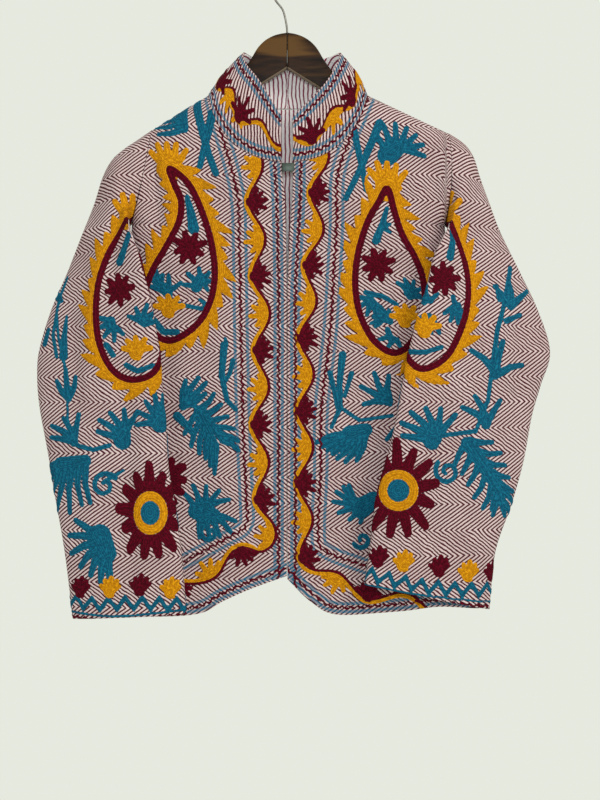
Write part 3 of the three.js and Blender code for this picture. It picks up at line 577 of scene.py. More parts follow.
def stitched_cloth(name, chevrons):
    """Rows of pinkish-white chain stitch with dark gaps, turning at even bands, under coloured motifs, with
    painted shade between chain loops and painted light and shade on the motifs' rows.
    """
    cloth = Finish(name, 0.92, 0.08)
    flat, x, z = cloth.flat_cloth()
    if chevrons:
        band = cloth.math("PINGPONG", cloth.math("DIVIDE", z, CHEVRON_TALL), 1.0)
        row = cloth.from_middle(cloth.minus(x, cloth.times(band, CHEVRON_WIDE)), CHEVRON_ROW)
        loop = cloth.from_middle(z, CHEVRON_LOOP)
    else:
        row = cloth.from_middle(x, COLLAR_ROW)
        loop = cloth.from_middle(z, COLLAR_LOOP)
    row = cloth.plus(row, cloth.times(cloth.minus(cloth.noise(flat, 0.45, 1.0), 0.5), 0.16))
    white = cloth.ramp(row, 0.23, 0.32, 1.0, 0.0)
    soil = cloth.noise(flat, 0.02, 3.0)
    thread = cloth.mix(soil, GROUND_SOILED, GROUND_WHITE)
    # Painted shade darkens the ground's thread where one chain loop meets the next
    thread = cloth.mix(cloth.ramp(loop, 0.38, 0.5, 0.0, 0.35), thread, SHADE_BETWEEN_LOOPS)
    lined = cloth.ramp(cloth.node("Attribute", attribute_name="teal_rows").outputs["Fac"], -0.5, 0.6, 1.0, 0.0)
    gap = cloth.mix(lined, GROUND_GAP, TEAL_GAP)
    narrowed = cloth.times(white, cloth.minus(1.0, cloth.times(lined, 0.66)))
    colour = cloth.mix(narrowed, gap, thread)
    rounded = cloth.minus(1.0, cloth.math("POWER", cloth.times(row, 2.6), 2.0))
    height = cloth.times(cloth.minus(rounded, cloth.times(loop, 0.5)), white)
    for thread_name, (dark, light) in THREAD_SHADED_AND_LIT.items():
        distance = cloth.node("Attribute", attribute_name=thread_name).outputs["Fac"]
        edge = cloth.plus(distance, cloth.times(cloth.minus(cloth.noise(flat, 0.28, 2.0), 0.5), 2.2))
        here = cloth.ramp(edge, -0.25, 0.35, 1.0, 0.0)
        chain = cloth.from_middle(edge, MOTIF_ROW)
        worn = cloth.ramp(cloth.noise(flat, 0.3, 3.0), 0.3, 0.66, 0.25, 1.0)
        # Painted light and shade: each chain row is lit on its crest and shaded between rows, times a random
        # worn tone
        painted_row_shade_and_wear = cloth.times(cloth.ramp(chain, 0.05, 0.46, 1.0, 0.32), worn)
        colour = cloth.mix(here, colour, cloth.mix(painted_row_shade_and_wear, dark, light))
        raised = cloth.plus(1.0, cloth.minus(0.5, chain))
        height = cloth.plus(cloth.times(height, cloth.minus(1.0, here)), cloth.times(raised, here))
    fuzz = cloth.times(cloth.noise(flat, 1.6, 2.0), 0.35)
    return cloth.finished(colour, cloth.plus(height, fuzz), 0.0008)


def striped_lining():
    """The plain-woven inner face: white with thin burgundy stripes."""
    cloth = Finish("striped_inner_face", 0.85)
    flat, x, z = cloth.flat_cloth()
    here = cloth.ramp(cloth.from_middle(x, STRIPE), 0.14, 0.19, 1.0, 0.0)
    white = cloth.mix(cloth.noise(flat, 0.05), (0.86, 0.82, 0.83, 1), (0.95, 0.91, 0.92, 1))
    weave = cloth.math("SINE", cloth.times(z, 5.0))
    return cloth.finished(cloth.mix(here, white, (0.24, 0.03, 0.07, 1)), weave, 0.00008)


herringbone = stitched_cloth("herringbone_chain_stitch", True)
lining = striped_lining()


def cloth_wall(name, outer, normals, ground, colours, face_cloth=herringbone, thick=CLOTH):
    """A closed wall: an outer face with the motifs, a striped inner face and cut edges."""
    rows, columns = outer.shape[:2]
    count = rows * columns
    inner = outer - normals * thick
    number = np.arange(count).reshape(rows, columns)
    front = np.stack([number[:-1, :-1], number[1:, :-1], number[1:, 1:], number[:-1, 1:]], -1).reshape(-1, 4)
    loop = np.concatenate([number[:, 0], number[-1, 1:], number[-2::-1, -1], number[0, -2:0:-1]])
    onward = np.roll(loop, -1)
    rim = np.stack([onward, loop, loop + count, onward + count], -1)
    faces = np.concatenate([front, front[:, ::-1] + count, rim])
    corners = np.concatenate([outer.reshape(-1, 3), inner.reshape(-1, 3)]) / 1000
    mesh = bpy.data.meshes.new(name)
    mesh.from_pydata(corners.tolist(), [], faces.tolist())
    uv = mesh.uv_layers.new(name="cloth")
    places = np.concatenate([ground.reshape(-1, 2)] * 2) / 1000
    uv.data.foreach_set("uv", places[faces.reshape(-1)].astype(np.float32).reshape(-1))
    for colour, distance in colours.items():
        values = np.concatenate([distance.reshape(-1)] * 2).astype(np.float32)
        mesh.attributes.new(colour, "FLOAT", "POINT").data.foreach_set("value", values)
    mesh.materials.append(face_cloth)
    mesh.materials.append(lining)
    mesh.polygons.foreach_set("material_index", np.repeat((0, 1, 0), (len(front), len(front), len(rim))))
    mesh.polygons.foreach_set("use_smooth", np.arange(len(faces)) < 2 * len(front))
    mesh.update()
    piece = bpy.data.objects.new(name, mesh)
    bpy.context.collection.objects.link(piece)
    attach(piece, "root")
    return piece


# Each front's motifs, in the picture's pixels.
# Strokes: points, half width in mm at the start and at the end
# Fronds: start, end, first and last angle, count, length, half width and body in mm
# Curls: x, y, radius in mm, turns and first angle
FRONT_MOTIFS = {
    "left": dict(
        border=((256, 152), (257, 200), (259, 250), (263, 330), (261, 420), (264, 490), (269, 530), (260, 553),
                (235, 557), (212, 572), (190, 588), (165, 598)),
        first=107, period=97,
        outer=((228, 120), (236, 190), (240, 250), (241, 330), (243, 430), (246, 500), (246, 526), (228, 538),
               (187, 560), (160, 572)),
        paisley=((170, 168), (187, 182), (200, 208), (211, 240), (214, 275), (209, 305), (193, 328), (170, 341),
                 (150, 330), (143, 303), (150, 272), (166, 246), (178, 222), (180, 200), (174, 184)),
        flower=(189, 247), tulip=(168, 309),
        strokes=(
            (((187, 196), (190, 212), (193, 228)), 3.2, 7.6),
            (((170, 301), (186, 305), (201, 308)), 2.8, 2.8),
            (((154, 321), (162, 331), (176, 331)), 4.8, 4.0),
            (((197, 100), (202, 130), (208, 152), (216, 173)), 6.0, 4.4),
            (((212, 112), (206, 138), (199, 166)), 6.0, 4.0),
            (((224, 345), (222, 375), (227, 400), (236, 410)), 5.2, 3.0),
            (((233, 360), (230, 374), (223, 384)), 3.4, 2.6),
            (((176, 416), (184, 424), (193, 434)), 6.0, 3.6),
            (((184, 404), (196, 406), (206, 412)), 2.6, 2.6),
            (((168, 284), (170, 292), (171, 300)), 2.0, 2.0), (((226, 345), (225, 338)), 3.0, 2.0),
            (((176, 468), (178, 486)), 2.0, 2.0),
        ),
        fronds=(
            ((186, 104), (184, 128), 172, 196, 6, 40, 5.0, 7.0),
            ((182, 406), (182, 406), 92, 22, 4, 42, 5.2, 5.5),
            ((198, 412), (216, 446), 236, 268, 6, 38, 4.8, 6.0),
            ((200, 408), (222, 440), 40, -24, 6, 27, 4.8, 5.0),
            ((196, 512), (206, 506), 120, 20, 5, 32, 4.8, 11.0),
            ((200, 514), (214, 516), 262, 350, 5, 34, 4.8, 11.0),
            ((166, 292), (166, 292), 160, 30, 4, 25, 4.6, 6.0),
            ((196, 286), (200, 278), 170, -60, 6, 19, 4.6, 8.0),
            ((155, 280), (158, 284), 170, 60, 4, 17, 4.4, 6.0),
            ((208, 305), (208, 305), 150, 200, 2, 16, 3.6, 3.0),
        ),
        curls=((210, 533, 13, 0.9, 2.4),), half_hidden=(160, 480, 38),
    ),
    "right": dict(
        border=((321, 152), (319, 200), (315, 250), (308, 320), (306, 420), (306, 500), (306, 543), (314, 565),
                (338, 580), (366, 590), (396, 598)),
        first=96, period=95,
        outer=((344, 112), (339, 170), (336, 230), (330, 330), (321, 410), (321, 470), (318, 536), (326, 551),
               (364, 566), (400, 578)),
        paisley=((387, 188), (395, 212), (402, 235), (415, 256), (424, 280), (424, 310), (413, 340), (394, 353),
                 (374, 340), (360, 315), (355, 287), (358, 255), (368, 222), (379, 202)),
        flower=(379, 264), tulip=(406, 320),
        strokes=(
            (((387, 208), (384, 222), (377, 240)), 3.0, 5.6),
            (((366, 292), (384, 296), (398, 304)), 3.4, 3.0), (((388, 330), (392, 342)), 4.0, 3.4),
            (((380, 122), (371, 145), (362, 165), (346, 198)), 5.6, 3.6),
            (((354, 130), (361, 160), (367, 190)), 4.6, 3.6),
            (((343, 354), (339, 385), (340, 408), (332, 428)), 5.0, 2.6),
            (((340, 408), (360, 420), (392, 415)), 2.6, 2.4),
            (((330, 372), (335, 392), (338, 408)), 3.6, 3.0), (((352, 374), (345, 396)), 3.6, 2.6),
            (((396, 430), (386, 440)), 4.0, 3.0),
        ),
        fronds=(
            ((388, 154), (398, 146), 118, -16, 7, 38, 5.4, 14.0),
            ((390, 402), (390, 402), 100, 178, 4, 42, 5.2, 6.5),
            ((350, 434), (366, 430), 186, 262, 7, 46, 5.4, 11.0),
            ((362, 508), (374, 500), 128, 232, 7, 42, 5.0, 14.0),
            ((371, 300), (374, 303), 160, 330, 5, 20, 4.4, 6.0),
            ((408, 292), (410, 296), 130, 0, 5, 20, 4.4, 6.0),
            ((384, 318), (390, 322), 230, 90, 5, 18, 4.2, 5.0),
            ((384, 226), (384, 226), 30, -40, 2, 12, 3.6, 4.0),
            ((388, 336), (396, 340), 200, 300, 3, 16, 4.0, 4.0),
        ),
        curls=((362, 541, 12, 1.0, 3.6),), half_hidden=(404, 480, 30),
    ),
}


def tulip(work, colour, at, facing, length=14.5):
    work.frond(colour, at, at, facing + 66, facing - 66, 5, length, length * 0.3, length * 0.54)


def sew_front(work, side):
    motifs = FRONT_MOTIFS[side]
    seen = work.seen
    along, off, _, _ = work.path([seen(*at) for at in motifs["outer"]])
    work.sprays(motifs)
    work.flower("burgundy", seen(*motifs["half_hidden"][:2]), 12, motifs["half_hidden"][2], 6.5)
    work.paisley([seen(*at) for at in motifs["paisley"]])
    work.flower("burgundy", seen(*motifs["flower"]), 8, 24, 4.7, 0.3)
    tulip(work, "mustard", seen(*motifs["tulip"]), 90, 20)
    work.lines(along, off, 0, 8.2)
    work.border([seen(*at) for at in motifs["border"]], motifs["first"], motifs["period"])
    # The trims follow the front edge and the hem, one row of lines inside the other.
    half, hem = HALVES[side], FRONT_HEM[side]
    edge = [(read(FRONT_EDGE, z, half["column"]), z) for z in (-230, -300, -420, -540, -660, hem[0][1])]
    for points, middle, gap in ((edge, 10.5, 4.8), (hem, 9.5, 5.2)):
        way, off, _, _ = work.path([np.array((half["sign"] * x, z), float) for x, z in points], 50)
        work.lines(way, np.abs(off), middle, gap)


for side in ("left", "right"):
    outer, normals, flat = body_panel("front", front_points(side))
    work = Embroidery(outer, flat)
    sew_front(work, side)
    outer = outer + normals * work.relief()[..., None]
    front = cloth_wall("front_panel_" + side, outer, normals, flat, work.colours)
    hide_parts("front_" + side)


# ---- The back
# One panel of the same cloth, sewn to both fronts at the shoulders and down the sides. It has the
# same ground, with two paisleys, sprays and suns of its own and the fronts' border along its hem.
BACK_NECK_DROP = 15


def back_points(rows=232, columns=165):
    u, v = np.linspace(0, 1, columns), np.linspace(0, 1, rows)
    left, right = HALVES["left"], HALVES["right"]
    # Half of the columns end at the neck, and a quarter at each shoulder.
    share = np.abs(2 * u - 1)
    in_neck, out = clamp(share / 0.5), clamp((share - 0.5) / 0.5)
    side_x, tip_x, tip_z = (np.where(u < 0.5, right[key][axis], left[key][axis])
                            for key, axis in (("neck", 0), ("tip", 0), ("tip", 1)))
    top_x = blend(side_x * in_neck, tip_x, out)
    top_z = blend(left["neck"][1] - BACK_NECK_DROP * (1 - in_neck**3), tip_z, out)
    sign = np.where(u < 0.5, 1, -1)
    hem_x = blend(right["side"][0], -left["side"][0], u)
    end_x = np.where(hem_x > 0, right["side"][0], left["side"][0])
    end_z = np.where(hem_x > 0, right["side"][1], left["side"][1])
    hem_z = blend(-785, end_z, smooth(np.abs(hem_x) / end_x) ** 1.2)
    start, end = outer_edge(right, v), outer_edge(left, v) * (-1, 1)
    return patch(u, v, start, end, np.stack([top_x * sign, top_z], -1), np.stack([hem_x, hem_z], -1))


outer, normals, flat = body_panel("back", back_points())
work = Embroidery(outer, flat)
for side in (-1, 1):
    def spot(x, z):
        return np.array([side * x, z], float)

    def turned(angle):
        return angle if side > 0 else 180 - angle

    for start, end, first, last, count, length, width, body in (
        ((70, -560), (70, -560), 150, 30, 5, 38, 5.2, 7), ((150, -590), (128, -606), 40, -100, 7, 36, 5, 9),
        ((36, -640), (60, -668), 200, 300, 7, 34, 4.8, 8), ((170, -700), (150, -716), 60, 170, 6, 34, 5, 8),
        ((30, -300), (30, -300), 110, -20, 5, 30, 5, 6), ((150, -240), (160, -262), 60, -60, 6, 30, 4.8, 7),
        ((180, -470), (186, -500), 70, -70, 6, 28, 4.6, 6),
    ):
        work.frond("teal", spot(*start), spot(*end), turned(first), turned(last), count, length, width, body)
    for points in (((58, -520), (66, -545), (70, -575), (66, -612), (44, -640)),
                   ((120, -560), (136, -590), (146, -640), (152, -690)),
                   ((24, -250), (30, -290), (22, -340), (30, -390))):
        work.sew("teal", work.stroke([spot(*at) for at in points], 3.4, 2.6))
    work.paisley([spot(*at) for at in (
        (92, -262), (112, -296), (138, -340), (150, -390), (142, -440), (112, -476), (78, -470), (58, -430),
        (60, -380), (76, -340), (88, -305))])
    work.flower("burgundy", spot(106, -372), 8, 20, 5.2, 0.2)
    work.frond("teal", spot(104, -412), spot(104, -412), turned(170), turned(60), 4, 20, 3.4, 4)
    work.sew("teal", work.stroke([spot(97, -300), spot(103, -318), spot(107, -340)], 3.0, 5.4))
    tulip(work, "mustard", spot(112, -446), 90)
    work.flower("burgundy", spot(98, -716), 12, 42, 7.5)
    centre = np.hypot(work.x - side * 98, work.z + 716)
    work.leave(centre - 22)
    work.sew("mustard", np.abs(centre - 17) - 5.0)
    work.sew("teal", centre - 10.5)
    work.spiral("teal", spot(30, -590), 15, 1.2, 1.0 if side > 0 else 2.2, 3.2)
work.flower("burgundy", (0, -470), 10, 26, 6.0)
tulip(work, "mustard", (0, -530), 270)
hem = through([(-244, -838), (-160, -826), (-90, -802), (0, -785), (90, -802), (170, -824), (256, -832)],
              np.linspace(0, 6, 13))
way, off, _, _ = work.path(hem)
work.lines(way, np.abs(off), 8.5, 5.2)
work.border([np.array([x, z + 34]) for x, z in hem], 50, 97)
work.lines(way, np.abs(off), 62, 8.2)
outer = outer + normals * work.relief()[..., None]
back = cloth_wall("back_panel", outer, normals, flat, work.colours)
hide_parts("back")


# ---- The sleeves
# Wide straight sleeves set into dropped armholes. They hang flattened before the fronts, each sewn
# into a tube along its inner edge, and carry a paisley, sprays, a sun flower and a trimmed cuff.
# Columns: outer edge x, z, y, inner edge x, z, y, half thickness
SLEEVES = {
    "left": (
        (196, -215, 0, 207, -332, -12, 28), (215, -228, -1, 204.5, -344, -32, 26),
        (231, -243, -3, 200, -355, -48, 23), (243, -266, -5, 190, -370, -56, 21),
        (254, -302, -8, 184, -394, -61, 19), (268, -338, -11, 177, -420, -63, 18),
        (288, -390, -13, 170, -458, -64, 18), (310, -442, -15, 164, -494, -64, 18),
        (325, -494, -18, 161, -530, -64, 18), (327, -530, -22, 158, -562, -64, 18),
        (323, -570, -27, 155, -598, -65, 17), (312, -625, -34, 152, -645, -65, 17),
        (302, -680, -42, 144, -692, -66, 17), (288, -755, -50, 135, -758, -67, 17),
        (277, -841, -54, 129, -834, -68, 17),
    ),
    "right": (
        (227, -216, 0, 210.5, -334, -12, 28), (238, -226, -1, 207.5, -344, -32, 26),
        (247, -242, -3, 203, -352, -48, 23), (254, -266, -5, 193, -364, -56, 21),
        (266, -300, -8, 186, -385, -61, 19), (280, -338, -11, 180, -412, -63, 18),
        (305, -390, -14, 171, -440, -64, 18), (329, -442, -18, 163, -470, -64, 18),
        (344, -496, -23, 155, -503, -64, 18), (331, -540, -28, 148, -540, -64, 18),
        (319, -580, -33, 141, -580, -65, 17), (308, -636, -40, 130, -628, -65, 17),
        (292, -692, -46, 115, -684, -66, 17), (270, -755, -51, 107, -745, -67, 17),
        (262, -829, -54, 100, -796, -68, 17),
    ),
}
SLEEVE_FOLDS = (
    (-236, -300, -560, 13, 5, -0.1), (-214, -420, -800, 15, -5, 0.03), (-262, -540, -840, 16, 4, 0.06),
    (236, -300, -540, 14, -4, 0.12), (268, -400, -560, 14, 5, 0.16), (214, -520, -800, 16, -5, -0.12),
    (-205, -235, -400, 11, -8, -0.14), (222, -240, -380, 10, -5, 0.1), (-286, -400, -600, 11, -3, 0.1),
    (-184, -560, -820, 10, 2.4, 0.0), (300, -430, -600, 12, -3.5, 0.0), (180, -600, -800, 11, 3, -0.14),
    (246, -620, -830, 12, 3, 0.0),
)
# The outline of one ring, walked in even steps to place the columns round the sleeve
ROUND = np.linspace(math.pi, -math.pi, 1200)
FLATTENED = np.stack([82.5 * np.cos(ROUND), 18 * np.sign(np.sin(ROUND)) * np.abs(np.sin(ROUND)) ** 0.8], -1)
WALKED = walked(FLATTENED)
ARMHOLE_GAP = 0.4  # mm, between the sleeve and the body at the seam
PRESSED = 0.3  # share of the full thickness in the fold at the armpit


def sleeve(side, rows=262, columns=157):
    half, sign = HALVES[side], HALVES[side]["sign"]
    turn = np.interp(np.linspace(0, WALKED[-1], columns), WALKED, ROUND)
    outward = (1 + np.cos(turn)) / 2
    before = np.sign(np.sin(turn)) * np.abs(np.sin(turn)) ** 0.8
    armhole = bow(half["tip"], half["armhole_bow"], half["armpit"], 1 - outward)
    x, z = sign * armhole[:, 0], armhole[:, 1]
    y = np.where(turn > 0, -face_depth("front", x, z), face_depth("back", x, z))
    rings = [np.stack([x + sign * ARMHOLE_GAP, y, z], -1)]
    for out_x, out_z, out_y, in_x, in_z, in_y, thick in SLEEVES[side]:
        rings.append(np.stack([sign * blend(in_x, out_x, outward), blend(in_y, out_y, outward) - before * thick,
                               blend(in_z, out_z, outward)], -1))
    rings = np.array(rings)
    fine = through(rings, np.linspace(0, len(rings) - 1, 600))
    middle = columns // 4
    way_down = walked(fine[:, middle])
    at = np.interp(np.linspace(0, way_down[-1], rows), way_down, np.linspace(0, len(rings) - 1, 600))
    outer = through(rings, at)
    held = smooth(at[:, None] / 2)
    x, z = outer[..., 0], outer[..., 2]
    wave = folds(SLEEVE_FOLDS, x, z) * clamp(before)[None] + unevenness(x + 40, z) * np.sign(before)[None]
    wave -= folds(SLEEVE_FOLDS, -x, z) * 0.5 * clamp(-before)[None]
    outer[..., 1] -= wave * held * np.minimum(1, np.abs(before) * 3)[None]
    # The flat cloth: each ring is laid out along the line from its inner to its outer edge.
    runs = np.linalg.norm(np.diff(outer, axis=1), axis=2)
    round_way = np.concatenate([np.zeros((rows, 1)), np.cumsum(runs, axis=1)], axis=1)
    round_way -= round_way[:, [middle]]
    top = outer[:, (columns - 1) // 2][:, [0, 2]]
    line = unit(top - outer[:, 0][:, [0, 2]])
    flat = outer[:, middle][:, None, [0, 2]] + round_way[..., None] * line[:, None]
    down, across = np.gradient(outer, axis=0), np.gradient(outer, axis=1)
    across[:, 0] = across[:, -1] = across[:, 0] + across[:, -1]
    normals = unit(np.cross(down, across)) * (1 if side == "right" else -1)
    hidden = np.broadcast_to(before[None] <= 0.05, x.shape)
    # In the tight fold at the armpit the cloth is pressed thin, and it faces away from the sleeve's middle.
    pinched = np.hypot(x - sign * half["armpit"][0], z - half["armpit"][1] + 10)
    away = unit(outer - outer.mean(axis=1, keepdims=True))
    normals = unit(blend(away, normals, smooth((pinched - 12) / 26)[..., None]))
    free = np.maximum(smooth((pinched - 24) / 34), 1 - smooth(at[:, None] / 0.7))
    full = blend(PRESSED, 1, free)[..., None]
    parts = outer, normals, flat, hidden, full
    return tuple(part[:, ::-1] for part in parts) if side == "left" else parts


SLEEVE_MOTIFS = {
    "left": dict(
        paisley=((131, 221), (140, 243), (147, 268), (156, 296), (164, 324), (165, 352), (154, 374), (132, 380),
                 (113, 370), (100, 345), (96, 315), (98, 284), (106, 258), (118, 236)),
        flower=(120, 291), tulip=(139, 352), sun=(151.5, 511, 46, 1.4, 22.6, 1.24),
        strokes=(
            (((131, 236), (126, 248), (121, 262)), 3.6, 6.4),
            (((66, 276), (58, 300), (52, 336), (56, 356)), 2.6, 2.6),
            (((56, 312), (58, 340), (64, 365), (68, 392), (68, 420), (76, 440)), 1.9, 1.9),
            (((66, 316), (65, 336), (63, 356)), 2.0, 6.0), (((48, 330), (44, 344)), 3.4, 4.4),
            (((80, 446), (96, 450), (112, 444)), 3.0, 3.0),
            (((106, 482), (118, 474), (126, 470)), 3.0, 2.0),
            (((128, 366), (140, 372), (154, 366)), 3.8, 3.4), (((108, 346), (114, 356)), 4.0, 3.6),
        ),
        fronds=(
            ((70, 398), (70, 398), 136, 64, 3, 36, 5.0, 5.0),
            ((76, 442), (76, 442), 168, 82, 4, 38, 5.2, 7.0),
            ((124, 440), (126, 436), 158, 60, 5, 38, 5.4, 12.0),
            ((162, 424), (166, 418), 178, 100, 5, 34, 5.0, 12.0),
            ((62, 464), (88, 460), 250, 270, 5, 62, 5.4, 10.0),
            ((60, 462), (62, 462), 196, 236, 3, 34, 5.0, 7.0),
            ((102, 534), (110, 552), 150, 276, 7, 44, 6.2, 15.0),
            ((112, 322), (114, 326), 160, 330, 5, 21, 4.6, 6.5),
            ((143, 322), (146, 324), 160, 10, 5, 22, 4.6, 6.0),
            ((60, 300), (60, 300), 130, 150, 2, 24, 3.6, 3.0),
        ),
        curls=((107, 484, 17, 1.25, 0.6),),
        tulips=((82, 587, "burgundy"), (112, 585, "mustard"), (143, 583, "burgundy"), (172, 587, "mustard")),
        zigzag=((66, 600), (100, 601), (140, 600), (190, 602)), trim=((68, 611), (120, 613), (190, 606)),
    ),
    "right": dict(
        paisley=((443, 214), (437, 236), (427, 262), (411, 295), (402, 324), (405, 352), (422, 368), (446, 356),
                 (462, 325), (469, 292), (466, 262), (455, 235)),
        flower=(443, 280), tulip=(423, 331), sun=(397.5, 489, 56, 1.17, 26, 1.02),
        strokes=(
            (((450, 228), (452, 244), (449, 258)), 2.6, 5.6),
            (((511, 268), (504, 300), (497, 330), (492, 365), (486, 400), (474, 430)), 3.6, 2.6),
            (((432, 437), (452, 434), (474, 430)), 3.0, 3.0),
            (((408, 352), (424, 353), (440, 348)), 3.6, 3.0), (((452, 298), (454, 312)), 3.4, 3.4),
            (((414, 300), (424, 304)), 3.2, 3.2), (((512, 306), (524, 296)), 4.4, 3.0),
            (((506, 322), (520, 316)), 4.4, 3.0), (((500, 300), (496, 286)), 4.4, 3.0),
        ),
        fronds=(
            ((510, 306), (510, 306), 128, 40, 3, 38, 5.2, 3.4),
            ((494, 372), (494, 376), 132, 28, 3, 46, 5.6, 5.0),
            ((484, 420), (484, 424), 150, 60, 3, 38, 5.4, 8.0),
            ((430, 440), (434, 438), 172, 46, 6, 44, 5.8, 13.0),
            ((464, 442), (496, 492), 238, 262, 6, 34, 5.0, 7.0),
            ((468, 440), (500, 490), 352, 322, 6, 32, 5.0, 6.0),
            ((498, 490), (504, 504), 240, 312, 3, 26, 5.0, 5.0),
            ((428, 318), (432, 322), 190, 300, 4, 19, 4.4, 5.0),
            ((456, 308), (458, 312), 200, 330, 5, 20, 4.6, 6.5),
            ((424, 300), (428, 302), 170, 40, 3, 16, 4.2, 4.5),
        ),
        curls=((446, 470, 17, 1.25, 2.4),),
        tulips=((377, 555, "burgundy"), (402, 559, "mustard"), (437, 566, "burgundy"), (466, 571, "mustard"),
                (490, 571, "burgundy")),
        zigzag=((368, 572), (402, 579), (440, 585), (500, 588)), trim=((366, 583), (420, 592), (494, 600)),
    ),
}


def sew_sleeve(work, side):
    motifs, seen = SLEEVE_MOTIFS[side], work.seen
    work.sprays(motifs)
    # The paisley is sewn on the flat cloth, so it runs on round the fold where the edge hides it.
    sign = HALVES[side]["sign"]
    shift = seen(*motifs["flower"]) - as_seen(*motifs["flower"])
    work.paisley([as_seen(*at) + shift for at in motifs["paisley"]])
    work.flower("burgundy", seen(*motifs["flower"]), 8, 23, 4.6, 0.1)
    tulip(work, "mustard", seen(*motifs["tulip"]), 90, 20)
    at = seen(*motifs["sun"][:2])
    radius, tall, ring, ring_tall = motifs["sun"][2:]
    work.flower("burgundy", at, 13, radius, 6.6, 0.15, tall)
    middle = np.hypot(work.x - at[0], (work.z - at[1]) / ring_tall)
    work.leave(middle - ring)
    work.sew("mustard", np.abs(middle - 0.775 * ring) - 0.225 * ring)
    work.sew("teal", middle - 0.55 * ring)
    for px, py, colour in motifs["tulips"]:
        tulip(work, colour, seen(px, py + 3), 90, 16.5)
    # Cuff: a thick teal zigzag under the tulips, a teal line and a burgundy one on the edge, all round.
    for key in ("zigzag", "trim"):
        points = [seen(*at) for at in motifs[key]]
        points = [points[0] - (40, 0), *points, points[-1] + (40, 0)]
        if sign < 0:
            points.insert(0, points[0] - (400, 0))
        else:
            points.append(points[-1] + (400, 0))
        way, off, _, _ = work.path(points, 60)
        if key == "zigzag":
            work.sew("teal", np.abs(off - 7.5 * saw(way, 22)) - 4.6)
        else:
            work.sew("teal", np.abs(off) - 1.5)
            work.sew("burgundy", np.abs(off + 6.0 - 1.8 * saw(way, 11)) - 1.9)
    # The side that faces the body and the back repeats the sprays.
    for away, z, angle in ((150, -420, 150), (190, -560, 60), (160, -690, 200)):
        x = sign * (330 + away)
        work.frond("teal", (x, z), (x + 16, z - 12), angle, angle - 120, 7, 36, 5.0, 8.0)
    work.flower("burgundy", (sign * 455, -640), 8, 24, 6.0)


for side in ("left", "right"):
    outer, normals, flat, hidden, full = sleeve(side)
    work = Embroidery(outer, flat, hidden)
    sew_sleeve(work, side)
    outer = outer + normals * work.relief()[..., None] * full
    piece = cloth_wall("sleeve_cloth_" + side, outer, normals, flat, work.colours, thick=CLOTH * full)
    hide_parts(*("sleeve_" + side + part for part in ("_top", "_middle", "_cuff")))


# ---- The stand collar
# A band of the same cloth sewn round the neck, standing up and open at the front, with its own
# scalloped border between two rows of lines.
# Columns: share of the way round, x, y, z of the top edge
COLLAR_TOP = (
    (0, 6.5, -36, -190), (0.07, 31, -33, -166), (0.15, 52, -25, -141), (0.22, 66, -13, -116),
    (0.28, 70, 1, -100), (0.37, 50, 18, -105), (0.5, 6, 26, -110), (0.63, -38, 18, -106), (0.72, -58, 1, -100),
    (0.78, -53, -14, -118), (0.85, -38, -25, -138), (0.93, -22, -33, -164), (1, -7.5, -36, -188),
)
COLLAR_GAP, BULGE = 0.7, 4  # mm, from the panels at the seam, and outward halfway up


def neck_line():
    """The neck seam from the right front corner round the back to the left front corner."""
    t = np.linspace(0, 1, 200)
    fronts = []
    for side in ("right", "left"):
        half = HALVES[side]
        at = bow((7.2, -248), half["neck_bow"], half["neck"], t) * (half["sign"], 1)
        fronts.append(np.stack([at[:, 0], -face_depth("front", at[:, 0], at[:, 1]), at[:, 1]], -1))
    share = np.linspace(1, -1, 400)
    x = np.where(share > 0, HALVES["right"]["neck"][0], HALVES["left"]["neck"][0]) * share
    z = blend(HALVES["left"]["neck"][1] - BACK_NECK_DROP, HALVES["left"]["neck"][1], np.abs(share) ** 3)
    behind = np.stack([x, face_depth("back", x, z), z], -1)
    return np.concatenate([fronts[0], behind, fronts[1][::-1]]) + (0, 0, COLLAR_GAP)


def collar_points(rows=46, columns=250):
    seam = neck_line()
    round_neck = walked(seam)
    share = np.linspace(0, 1, columns)
    foot = np.stack([np.interp(share * round_neck[-1], round_neck, seam[:, axis]) for axis in range(3)], -1)
    shares = np.array([row[0] for row in COLLAR_TOP])
    top = through([row[1:] for row in COLLAR_TOP], np.interp(share, shares, np.arange(len(shares))))
    down = np.linspace(0, 1, rows)[:, None, None]
    out = unit(foot * (1, 1, 0))
    outer = blend(top[None], foot[None], down) + out[None] * BULGE * np.sin(math.pi * down)
    wobble = 0.8 * np.sin(share * 31 + 2 * down[..., 0]) * np.sin(math.pi * clamp(1.1 - down[..., 0]))
    outer += out[None] * wobble[..., None]
    high = np.linalg.norm(top - foot, axis=1)
    way = np.broadcast_to(share[None] * round_neck[-1], (rows, columns))
    flat = np.stack([way, (1 - down[..., 0]) * high[None]], -1)
    return outer, unit(np.cross(np.gradient(outer, axis=0), np.gradient(outer, axis=1))), flat, high


SCALLOP, SWING = 72, 9.0  # mm, the length of a scallop and half of its height
straight_rows = stitched_cloth("straight_chain_stitch", False)
outer, normals, flat, high = collar_points()
work = Embroidery(outer, flat, normals[..., 1] > -0.1)
way, up = work.x, work.z
top_gap = high[None] - up
work.lines(way, up, 9.0, 5.2)
work.lines(way, top_gap, 8.5, 4.8)
